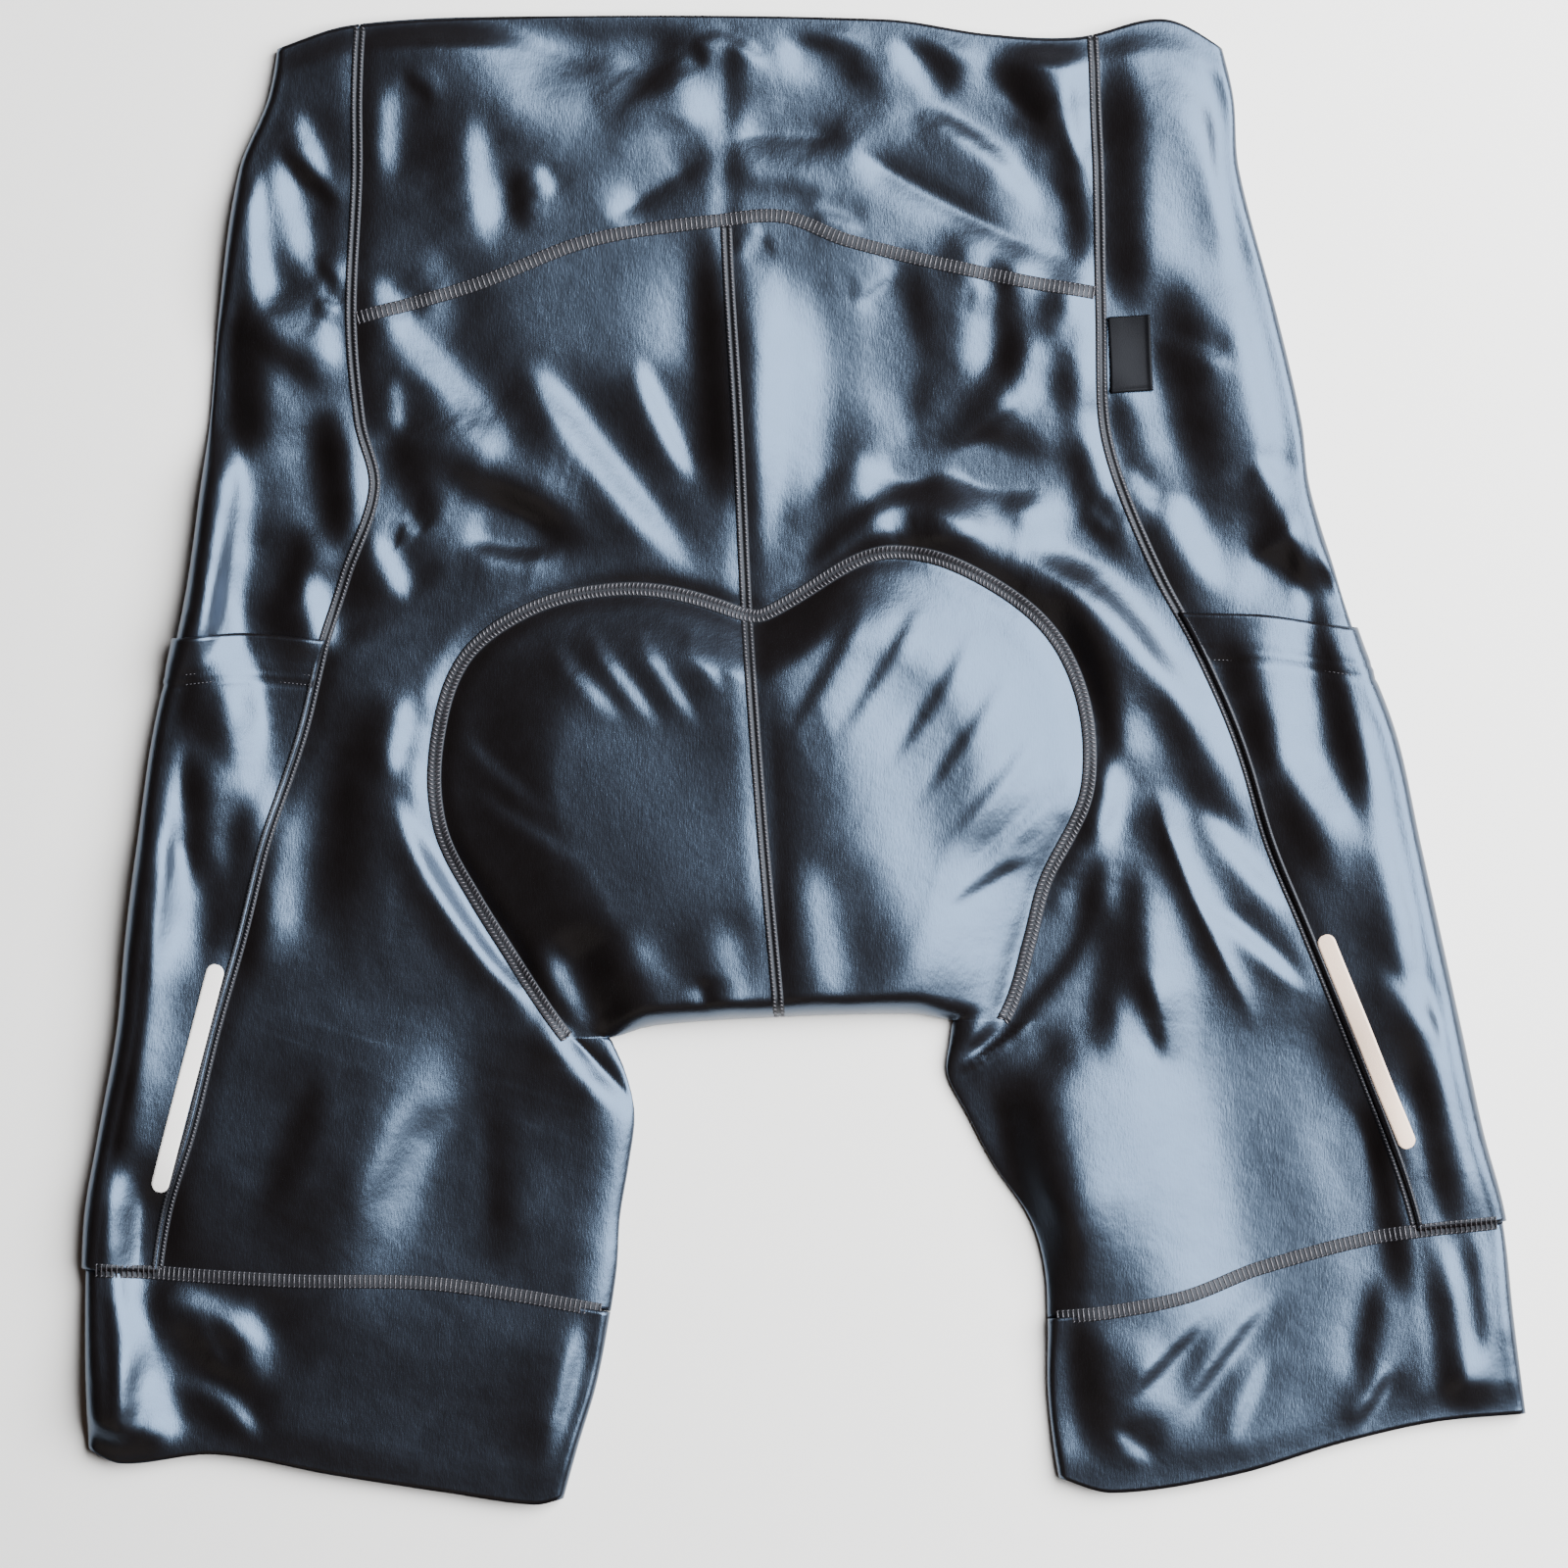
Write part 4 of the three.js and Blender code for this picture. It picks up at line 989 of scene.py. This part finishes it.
def band_under(side: Side) -> Edge:
    """The band seam underneath: straight across the front panel, as above beyond the long seam.

    Args:
        side: the garment's side.
    Returns:
        Its y at an x.
    """
    level = BAND_LEVEL
    for _ in range(SOLVE_STEPS):
        level = float(side.band(side.seam(level)))
    seam_x = float(side.seam(level))
    inner_x = float(side.inner(side.band(side.inner(level))))
    rise = float(side.band(inner_x) - side.band(seam_x)) / (inner_x - seam_x)
    at_seam = float(side.band(seam_x))
    return lambda x: np.where((x - seam_x) * side.outward > 0, side.band(x), at_seam + rise * (x - seam_x))


def lift_under(side: Side, x: Array, y: Array) -> Array:
    """How far the pocket's cloth beneath lifts the underside of a side panel."""
    return (WALL + SEAM_GAP) * smooth(1 - (y - side.mouth(x) - 1) / POCKET_STEP)


@dataclass(frozen=True)
class SidePanels:
    """A full-length side panel folded round the side, and the patch pocket on it."""

    side_cut: tuple[float, float] = (118.0, 432.0)
    side_fill: float = 0.86
    pocket_cut: tuple[float, float] = (112.0, 222.0)
    pocket_fill: float = 0.86
    hem_depth: float = 12.5  # from the mouth to the first row of stitches
    hem_rise: float = 0.45
    hem_groove: float = 0.35
    hem_rows: float = 3.3
    hem_groove_width: float = 1.1
    hem_foot: float = 2.0  # over which the hem steps down
    on_top: float = 2.5  # height from which the pocket is on the upper side
    half_length: float = 205.0  # waist to mouth, and mouth to band
    top_width: float = 48.0
    level: float = 100.0  # about the height of the panel's middle
    beneath_columns: int = 9
    roll_columns: int = 15
    blend_from: float = 0.82  # share of the top from which it takes up the roll's height
    blend: float = 0.18

    def grid(self, side: Side) -> tuple[Array, Array, int]:
        """Points round a side fold: across the top from the long seam, round it, and back underneath.

        Args:
            side: the garment's side.
        Returns:
            Points, the share across the top of each column, and the row of the pocket's mouth.
        """
        upper = shares(self.half_length)
        lower = upper[1:]
        spans = ((WAIST, side.mouth, upper), (side.mouth, moved(side.band, SEAM_GAP / 2), lower))
        over = shares(self.top_width)
        beneath = np.linspace(1.0, 0.0, self.beneath_columns)[1:]
        turn = np.radians(np.linspace(90.0, -90.0, self.roll_columns))[1:]
        parts = []
        for top, bottom, down in spans:
            level = np.full(down.shape, self.level)
            for _ in range(SOLVE_STEPS):
                level = lerp(top(side.seam(level)), bottom(side.seam(level)), down)
            level = level[:, None]
            down = down[:, None]
            edges = (moved(side.seam, side.outward * SEAM_GAP / 2), side.fold, top, bottom)
            width = np.abs(side.fold(level) - side.seam(level))
            look_x, look_y = plan_point(edges, 1 - ROLL_LOOK / width, down, level)
            look = FORM.height(look_x, look_y)
            base = lift_under(side, look_x, look_y)
            radius = (look - base) / 2
            start = 1 - radius / width
            x, y = plan_point(edges, over[None, :] * start, down, level)
            near_roll = smooth((over[None, :] - self.blend_from) / self.blend)
            z = lerp(FORM.height(x, y), look, near_roll)
            roll_share = start + (1 - start) * np.cos(turn)[None, :]
            roll_x, roll_y = plan_point(edges, roll_share, down, level)
            roll_z = base + radius + radius * np.sin(turn)[None, :]
            low_x, low_y = plan_point(edges, beneath[None, :] * start, down, level)
            low_z = lift_under(side, low_x, low_y)
            parts.append(np.concatenate([
                spots(x, y, z), spots(roll_x, roll_y, roll_z), spots(low_x, low_y, low_z),
            ], axis=1))
        across = np.concatenate([over, np.ones(len(turn) + len(beneath))])
        return np.concatenate(parts), across, len(upper) - 1

    def build(self, side: Side) -> None:
        """Builds the side panel and its pocket.

        Args:
            side: the garment's side.
        """
        grid, across, mouth = self.grid(side)
        add_cloth(f"panel_side_{side.name}", f"side_{side.name}", shell(grid, 0.0, -WALL))
        rows = grid[mouth:].copy()
        x, y = rows[..., 0], rows[..., 1]
        on_top = (across < 1.0)[None, :]
        rows[..., 2] += FORM.ajar(side, x, y, across[None, :]) * on_top
        below = side.mouth(x) - y
        hem = self.hem_rise * smooth((self.hem_depth + self.hem_rows - below) / self.hem_foot)
        for row in (self.hem_depth, self.hem_depth + self.hem_rows):
            hem = hem - self.hem_groove * np.exp(-(((below - row) / self.hem_groove_width) ** 2))
        outer = SEAM_GAP + WALL + hem * (rows[..., 2] > self.on_top)
        add_cloth(f"pocket_cloth_{side.name}", f"pocket_{side.name}", shell(rows, outer, SEAM_GAP))


@dataclass(frozen=True)
class LegBands:
    """The doubled band at each leg: a flattened tube, open at both ends."""

    cut: tuple[float, float] = (338.0, 66.0)
    fill: float = 0.9
    length: float = 60.0
    top_width: float = 158.0
    blend: float = 0.06  # share of the top beside each roll that takes up its height
    blend_from: float = 0.94  # where the second of them starts
    roll_columns: int = 13
    beneath: tuple[float, float, int] = (0.96, 0.04, 24)  # first and last column's share, and how many

    def build(self, side: Side) -> None:
        """Builds the band of one leg.

        Args:
            side: the garment's side.
        """
        top_edge = moved(side.band, -SEAM_GAP / 2)
        under_edge = moved(band_under(side), -SEAM_GAP / 2)
        edges = (side.inner, side.fold, top_edge, side.hem)
        under = (side.inner, side.fold, under_edge, side.hem)
        down = shares(self.length)[:, None]
        guess = lerp(BAND_LEVEL, HEM_LEVEL, down)
        inner_x, _ = plan_point(edges, 0.0, down, guess)
        outer_x, _ = plan_point(edges, 1.0, down, guess)
        width = np.abs(outer_x - inner_x)
        near = FORM.height(*plan_point(edges, ROLL_LOOK / width, down, guess))
        far = FORM.height(*plan_point(edges, 1 - ROLL_LOOK / width, down, guess))
        start = near / 2 / width
        end = 1 - far / 2 / width
        t = shares(self.top_width)[None, 1:-1]
        x, y = plan_point(edges, lerp(start, end, t), down, guess)
        z = FORM.height(x, y)
        z = lerp(z, near, smooth((self.blend - t) / self.blend))
        z = lerp(z, far, smooth((t - self.blend_from) / self.blend))
        turn = np.radians(np.linspace(90.0, -90.0, self.roll_columns))[None, :]
        outer_roll = self.roll(edges, under, end, far / 2, width, turn, 1, down, guess)
        inner_roll = self.roll(edges, under, start, near / 2, width, -turn, -1, down, guess)
        low = np.linspace(*self.beneath)[None, :]
        low_x, low_y = plan_point(under, lerp(start, end, low), down, guess)
        beneath = spots(low_x, low_y, np.zeros(low_x.shape))
        grid = np.concatenate([spots(x, y, z), outer_roll, beneath, inner_roll], axis=1)
        add_cloth(f"band_cloth_{side.name}", f"band_{side.name}", shell(grid, 0.0, -DOUBLED, ring=True),
                  SATIN_DOUBLED)

    def roll(
        self, over: Edges, under: Edges, centre: Array, radius: Array,
        width: Array, turn: Array, way: int, down: Array, guess: Array
    ) -> Array:
        """Points round one edge of the tube: centre + radius (cos, sin), on the lower plan below its middle.

        Args:
            over: edges of the plan above.
            under: edges of the plan underneath.
            centre: share at which the roll is centred.
            radius: its radius.
            width: width of the row.
            turn: angles.
            way: 1 outward, -1 inward.
            down: share down of the rows.
            guess: first guess of y.
        Returns:
            Rows by angles by 3.
        """
        share = centre + way * radius / width * np.cos(turn)
        high_x, high_y = plan_point(over, share, down, guess)
        low_x, low_y = plan_point(under, share, down, guess)
        below = turn < 0
        z = radius + radius * np.sin(turn)
        return spots(np.where(below, low_x, high_x), np.where(below, low_y, high_y), z)


@dataclass(frozen=True)
class SeatPad:
    """The foam pad between the layers, its top following the cloth above it."""

    edge: float = 7.0
    clear: float = 2.4
    seat_clear: float = 12.0
    floor: float = WALL + SEAM_GAP
    thinnest: float = 0.6
    spokes: int = 96
    top_rings: int = 22
    low_rings: int = 8
    hole: float = 0.02  # share of the reach at the innermost ring
    rim: tuple[float, ...] = (0.98, 1.0, 0.98)
    rim_level: tuple[float, ...] = (0.85, 0.5, 0.15)
    top_reach: float = 0.94
    low_reach: float = 0.9

    def build(self) -> None:
        """Builds the pad: rings out from its centre over the top, round its rim and back underneath."""
        angle = np.linspace(-90.0, 270.0, self.spokes + 1)[:-1][None, :]
        turn = np.radians(angle)
        reach = PAD_REACH(angle) - self.edge
        lowest = FORM.pad_y - (SEAT_FOLD(np.array(FORM.pad_x)) + self.seat_clear)
        falling = -np.sin(turn)
        down = np.where(falling > FLAT, lowest / np.maximum(falling, FLAT), np.inf)
        reach = np.minimum(reach, down)
        upper = np.linspace(self.hole, self.top_reach, self.top_rings)
        lower = np.linspace(self.low_reach, self.hole, self.low_rings)
        ring = np.concatenate([upper, self.rim, lower])
        level = np.concatenate([np.ones(self.top_rings), self.rim_level, np.zeros(self.low_rings)])[:, None]
        x = FORM.pad_x + ring[:, None] * reach * np.cos(turn)
        y = FORM.pad_y + ring[:, None] * reach * np.sin(turn)
        left = x < MIDDLE(y)
        cloth = np.where(left, FORM.back(LEFT, x, y), FORM.back(RIGHT, x, y))
        top = np.maximum(cloth - WALL - self.clear, self.floor + self.thinnest)
        points = spots(x, y, lerp(self.floor, top, level))
        rows, columns = points.shape[:2]
        index = np.arange(rows * columns).reshape(rows, columns)
        nxt = np.roll(index, -1, 1)
        quads = np.stack([index[:-1], index[1:], nxt[1:], nxt[:-1]], -1).reshape(-1, 4)
        vertices = points.reshape(-1, 3)
        centres = np.stack([points[0].mean(0), points[-1].mean(0)])
        top_cap = np.stack([np.full(columns, len(vertices)), index[0], nxt[0]], -1)
        low_cap = np.stack([np.full(columns, len(vertices) + 1), nxt[-1], index[-1]], -1)
        triangles = np.concatenate([quads[:, [0, 1, 2]], quads[:, [0, 2, 3]], top_cap, low_cap])
        made = add_mesh("foam_pad", np.concatenate([vertices, centres]), triangles, FOAM)
        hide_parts("seat_pad")


@dataclass(frozen=True)
class Strip:
    """A reflective strip with round ends, lying on its pocket."""

    side: Side
    start: tuple[float, float]
    stop: tuple[float, float]
    finish: Finish
    slot: Slot
    width: float = 6.0
    clear: float = 0.15
    thick: float = 0.35
    tip_points: int = 8
    middle_points: int = 60
    columns: int = 9
    first_turn: float = 0.25  # angle of the first tip point round the end

    def build(self) -> None:
        """Builds the strip: half width sqrt(r^2 - (r - s)^2) near each end, r at its middle."""
        start, stop = np.array(self.start), np.array(self.stop)
        length = float(np.hypot(*(stop - start)))
        way = (stop - start) / length
        radius = self.width / 2
        tips = radius * (1 - np.cos(np.linspace(self.first_turn, math.pi / 2, self.tip_points)))
        middle = np.linspace(radius, length - radius, self.middle_points)[1:-1]
        station = np.concatenate([tips, middle, length - tips[::-1]])
        near = np.minimum(np.minimum(station, length - station), radius)
        half = np.sqrt(radius ** 2 - (radius - near) ** 2)
        across = np.linspace(-1.0, 1.0, self.columns)
        x = start[0] + way[0] * station[:, None] - way[1] * half[:, None] * across
        y = start[1] + way[1] * station[:, None] + way[0] * half[:, None] * across
        z = FORM.height(x, y) + SEAM_GAP + WALL
        built = shell(spots(x, y, z), self.clear + self.thick, self.clear)
        made = add_mesh(f"film_{self.side.name}", built[0], built[1], self.finish)
        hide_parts(f"strip_{self.side.name}")


@dataclass(frozen=True)
class Label:
    """The folded ribbon label in the right long seam, left bare."""

    x: float = 102.3
    y: float = 150.0
    width: float = 14.5
    length: float = 26.0
    lean: float = 1.0
    clear: float = 0.5
    thick: float = 1.0
    edge_rise: float = 0.6
    edge_reach: float = 1.2
    rows: int = 34
    columns: int = 20

    def build(self) -> None:
        """Builds the label, its free edges standing up slightly."""
        down = np.linspace(0.0, 1.0, self.rows)[:, None]
        across = np.linspace(0.0, 1.0, self.columns)[None, :]
        x = self.x + self.lean * down + self.width * across
        y = self.y - self.length * down + self.lean * across
        beside = np.exp(-((1 - across) * self.width / self.edge_reach) ** 2)
        below = np.exp(-((1 - down) * self.length / self.edge_reach) ** 2)
        z = FORM.height(x, y) + self.edge_rise * (beside + below)
        built = shell(spots(x, y, z), self.clear + self.thick, self.clear)
        made = add_mesh("ribbon_label", built[0], built[1], RIBBON)
        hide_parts("label")


class Stitch(Enum):
    """Kinds of sewing seen on the outside: from, to (shares across the band) and slant of each thread."""

    CORDS = ((-0.74, -0.26, 0.45), (0.26, 0.74, 0.45))
    LADDER = ((-0.78, 0.78, 0.0), (-0.9, -0.6, 0.45), (0.6, 0.9, 0.45))
    CHEVRON = ((-0.85, -0.05, 0.55), (0.05, 0.85, -0.55))
    ROWS = ((-0.02, 0.02, 0.65),)


SPINDLE_AT = np.array([0.12, 0.5, 0.88])  # its rings, as shares of its length
SPINDLE_SIDES = 6
SPINDLE_LIFT = 0.35  # share of its radius


def even_path(points: Array, step: float) -> Array:
    """Points at even steps along a path of points.

    Args:
        points: the path, n by 2.
        step: distance between points.
    Returns:
        The points, m by 2.
    """
    lengths = np.hypot(*np.diff(points, axis=0).T)
    run = np.concatenate([[0.0], np.cumsum(lengths)])
    at = np.linspace(0.0, run[-1], max(int(run[-1] / step), 2) + 1)
    return np.stack([np.interp(at, run, points[:, i]) for i in (0, 1)], -1)


@dataclass(frozen=True)
class Seam:
    """One seam: a raised band carried along a path in the plan, with its stitches on it."""

    name: str
    path: Array
    kind: Stitch
    half_width: float = 2.3
    rise: float = 0.55
    pitch: float = 1.3
    thread: float = 0.36  # radius
    sink: float = 0.35  # how far its edges go down
    cord_at: float = 0.5  # share of the half width
    cord_width: float = 0.3
    cord_edge: float = 0.8
    crown_edge: float = 0.9
    thick: float = 0.5
    step: float = 1.3  # between the band's rows
    columns: int = 15

    def profile(self, s: Array) -> Array:
        """Height of the band across it, s from -1 to 1: two cords with a groove, or one low crown.

        Args:
            s: shares across the band.
        Returns:
            The heights there.
        """
        if self.kind is Stitch.CORDS:
            cords = sum(np.exp(-(((s - at) / self.cord_width) ** 2)) for at in (self.cord_at, -self.cord_at))
            return self.rise * cords - self.sink * smooth((np.abs(s) - self.cord_edge) / (1 - self.cord_edge))
        crown = np.sqrt(np.clip(1 - np.abs(s) ** 3, 0.0, 1.0))
        return self.rise * crown - self.sink * smooth((np.abs(s) - self.crown_edge) / (1 - self.crown_edge))

    def frame(self, step: float) -> tuple[Array, Array]:
        """Points at even steps along the path, and the unit normal to its left at each.

        Args:
            step: distance between points.
        Returns:
            Points and normals, n by 2.
        """
        points = even_path(self.path, step)
        tangent = np.gradient(points, axis=0)
        tangent = tangent / np.linalg.norm(tangent, axis=1, keepdims=True)
        return points, np.stack([-tangent[:, 1], tangent[:, 0]], -1)

    def place(self, points: Array, normal: Array, s: Array) -> Array:
        """Points on the band at shares s across it.

        Args:
            points: plan points on the path, n by 2.
            normal: unit normals there.
            s: shares across, n by m.
        Returns:
            Points, n by m by 3.
        """
        spot = points[:, None, :] + normal[:, None, :] * (s * self.half_width)[..., None]
        x, y = spot[..., 0], spot[..., 1]
        return spots(x, y, FORM.top(x, y) + self.profile(s))

    def build(self) -> None:
        """Builds the band, if the seam has one, and its stitches."""
        if self.kind is not Stitch.ROWS:
            points, normal = self.frame(self.step)
            s = np.broadcast_to(np.linspace(-1.0, 1.0, self.columns), (len(points), self.columns))
            built = shell(self.place(points, normal, s), 0.0, -self.thick)
            add_mesh(f"seam_{self.name}", built[0], built[1], BOUND)
        self.sew()

    def sew(self) -> None:
        """Lays the stitches as one joined mesh of small spindles."""
        points, normal = self.frame(self.pitch)
        tangent = np.stack([normal[:, 1], -normal[:, 0]], -1)
        starts, stops = [], []
        one = np.ones((len(points), 1))
        for first, last, slant in self.kind.value:
            lean = tangent * (slant * self.pitch / 2)
            starts.append(self.place(points - lean, normal, one * first)[:, 0])
            stops.append(self.place(points + lean, normal, one * last)[:, 0])
        built = spindles(np.concatenate(starts), np.concatenate(stops), self.thread)
        add_mesh(f"stitches_{self.name}", built[0], built[1], THREAD)


def spindles(start: Array, stop: Array, radius: float) -> Pair:
    """Small spindles, each between two points: radius sin(t)^0.6 round the line, six-sided.

    Args:
        start: first ends, n by 3.
        stop: second ends, n by 3.
        radius: thickest radius.
    Returns:
        Vertices and triangles of all of them.
    """
    axis = stop - start
    length = np.linalg.norm(axis, axis=1, keepdims=True)
    axis = axis / np.maximum(length, TINY)
    up = np.array([0.0, 0.0, 1.0])
    side = np.cross(axis, up)
    side = side / np.maximum(np.linalg.norm(side, axis=1, keepdims=True), TINY)
    rise = np.cross(side, axis)
    swell = np.sin(np.pi * SPINDLE_AT) ** 0.6
    here = np.arange(SPINDLE_SIDES)
    turn = here * math.pi / 3
    ring = (
        start[:, None, None, :] + axis[:, None, None, :] * (length * SPINDLE_AT)[..., None, None]
        + radius * swell[None, :, None, None] * (
            side[:, None, None, :] * np.cos(turn)[None, None, :, None]
            + rise[:, None, None, :] * np.sin(turn)[None, None, :, None])
    ).reshape(len(start), -1, 3)
    points = np.concatenate([ring, start[:, None], stop[:, None]], axis=1) + up * radius * SPINDLE_LIFT
    after = (here + 1) % SPINDLE_SIDES
    first, last = (np.full(SPINDLE_SIDES, ring.shape[1] + i) for i in (0, 1))
    quads = np.concatenate([spots(here, after, after + 6) + 6 * k for k in (0, 1)])
    others = np.concatenate([spots(here, after + 6, here + 6) + 6 * k for k in (0, 1)])
    faces = np.concatenate([
        quads[:, [0, 2, 1]], others[:, [0, 2, 1]],
        spots(first, here, after), spots(last, after + 12, here + 12),
    ])
    all_faces = faces[None] + (np.arange(len(start)) * points.shape[1])[:, None, None]
    return points.reshape(-1, 3), all_faces.reshape(-1, 3)[:, ::-1]


def seams() -> list[Seam]:
    """All seams that show, in the order they are sewn.

    Returns:
        The seams.
    """
    y_all = np.linspace(248.0, -172.0, 260)
    made = []
    for side in (LEFT, RIGHT):
        level = y_all[y_all > float(side.band(side.seam(-170.0)))]
        top = float(WAIST(side.seam(249.0)))
        level = level[level < top - 0.5]
        made.append(Seam(f"long_{side.name}", np.stack([side.seam(level), level], -1), Stitch.CORDS))
        inner = float(side.inner(-187.0))
        outer = float(side.fold(-165.0))
        x = np.linspace(inner + side.outward * 3.5, outer - side.outward * 4.0, 120)
        made.append(Seam(f"band_{side.name}", np.stack([x, side.band(x)], -1), Stitch.LADDER,
                         half_width=2.6, rise=0.3, pitch=1.7, thread=0.32))
        inner = float(side.seam(35.0)) + side.outward * 4.0
        outer = float(side.fold(35.0)) - side.outward * 5.0
        x = np.linspace(inner, outer, 40)
        for i in (0, 1):
            y = side.mouth(x) - (SidePanels.hem_depth + i * SidePanels.hem_rows)
            made.append(Seam(f"hem_{side.name}_{i}", np.stack([x, y], -1), Stitch.ROWS,
                             half_width=1.0, rise=0.1, pitch=1.35, thread=0.2))
    x = np.linspace(-151.5, 97.5, 200)
    made.append(Seam("yoke", np.stack([x, YOKE(x)], -1), Stitch.LADDER,
                     half_width=2.5, rise=0.3, pitch=1.7, thread=0.32))
    y = np.linspace(181.0, -86.5, 200)
    made.append(Seam("middle", np.stack([MIDDLE(y), y], -1), Stitch.CORDS))
    angle = np.linspace(-49.0, 231.0, 400)
    reach = PAD_REACH(angle)
    x = FORM.pad_x + reach * np.cos(np.radians(angle))
    y = FORM.pad_y + reach * np.sin(np.radians(angle))
    inside = y > SEAT_FOLD(x) + 0.5
    made.append(Seam("pad", np.stack([x, y], -1)[inside], Stitch.CHEVRON, half_width=2.6, rise=0.7,
                     pitch=1.4, thread=0.4))
    return made


@dataclass(frozen=True)
class Lamp:
    """A square area light aimed at the middle of the garment."""

    name: str
    way: tuple[float, float]  # plan direction in which it stands
    tilt: float  # degrees from straight up
    distance: float
    size: float
    power: float
    color: str

    def build(self) -> None:
        """Builds the light."""
        data = bpy.data.lights.new(self.name, "AREA")
        data.shape = "SQUARE"
        data.size = self.size
        data.energy = self.power
        data.color = linear(self.color)[:3]
        lamp = bpy.data.objects.new(self.name, data)
        plan = np.array(self.way) / np.hypot(*self.way) * math.sin(math.radians(self.tilt))
        away = Vector((float(plan[0]), float(plan[1]), math.cos(math.radians(self.tilt))))
        lamp.location = away * self.distance
        lamp.rotation_euler = away.to_track_quat("Z", "Y").to_euler()
        bpy.context.scene.collection.objects.link(lamp)


@dataclass(frozen=True)
class Studio:
    """Floor, lights and camera."""

    lamps: tuple[Lamp, ...] = (
        Lamp("key", (1.0, 0.35), 42.0, 1.45, 1.5, 122.0, "#FFFFFF"),
        Lamp("fill", (-0.4, -0.9), 55.0, 2.2, 1.2, 1.3, "#FFCFA4"),
    )
    world_color: str = "#FFD2A6"
    world_level: float = 0.01
    floor_half: float = 4.0
    floor_level: float = -0.0003
    camera_height: float = 2.0
    look: tuple[float, float] = (-0.0068, -0.0084)
    look_height: float = 0.004
    half_view: float = 0.2656
    sensor: float = 36.0

    def build(self) -> None:
        """Builds the floor, the lights, the dim surroundings and the camera."""
        mesh = bpy.data.meshes.new("floor")
        ends = ((-1, -1), (1, -1), (1, 1), (-1, 1))
        points = [(x * self.floor_half, y * self.floor_half, self.floor_level) for x, y in ends]
        mesh.from_pydata(points, [], [(0, 1, 2, 3)])
        mesh.materials.append(WARDROBE.get(FLOOR))
        floor = bpy.data.objects.new("floor", mesh)
        bpy.context.scene.collection.objects.link(floor)
        floor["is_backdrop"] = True
        for lamp in self.lamps:
            lamp.build()
        world = bpy.data.worlds.new("studio")
        world.use_nodes = True
        back = world.node_tree.nodes["Background"]
        back.inputs["Color"].default_value = linear(self.world_color)
        back.inputs["Strength"].default_value = self.world_level
        bpy.context.scene.world = world
        data = bpy.data.cameras.new("camera")
        data.sensor_width = self.sensor
        data.lens = self.sensor / 2 * (self.camera_height - self.look_height) / self.half_view
        data.clip_start = 0.01
        camera = bpy.data.objects.new("camera", data)
        camera.location = (*self.look, self.camera_height)
        bpy.context.scene.collection.objects.link(camera)
        bpy.context.scene.camera = camera


def corners() -> list[list[float]]:
    """Lowest and highest corner of what is shown."""
    low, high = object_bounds()
    return [list(low), list(high)]


def main() -> None:
    """Builds every piece in order."""
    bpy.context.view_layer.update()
    Waistbands().build()
    for side in (LEFT, RIGHT):
        Panels().build(side)
        SidePanels().build(side)
        LegBands().build(side)
    SeatPad().build()
    Strip(LEFT, (-199.0, -69.0), (-219.0, -146.0), PALE_FILM, Slot.PALE).build()
    Strip(RIGHT, (175.0, -59.0), (204.0, -131.0), FILM_WARM_REFLECTION, Slot.WARM).build()
    Label().build()
    for seam in seams():
        seam.build()
    Studio().build()


if __name__ == "__main__":
    main()
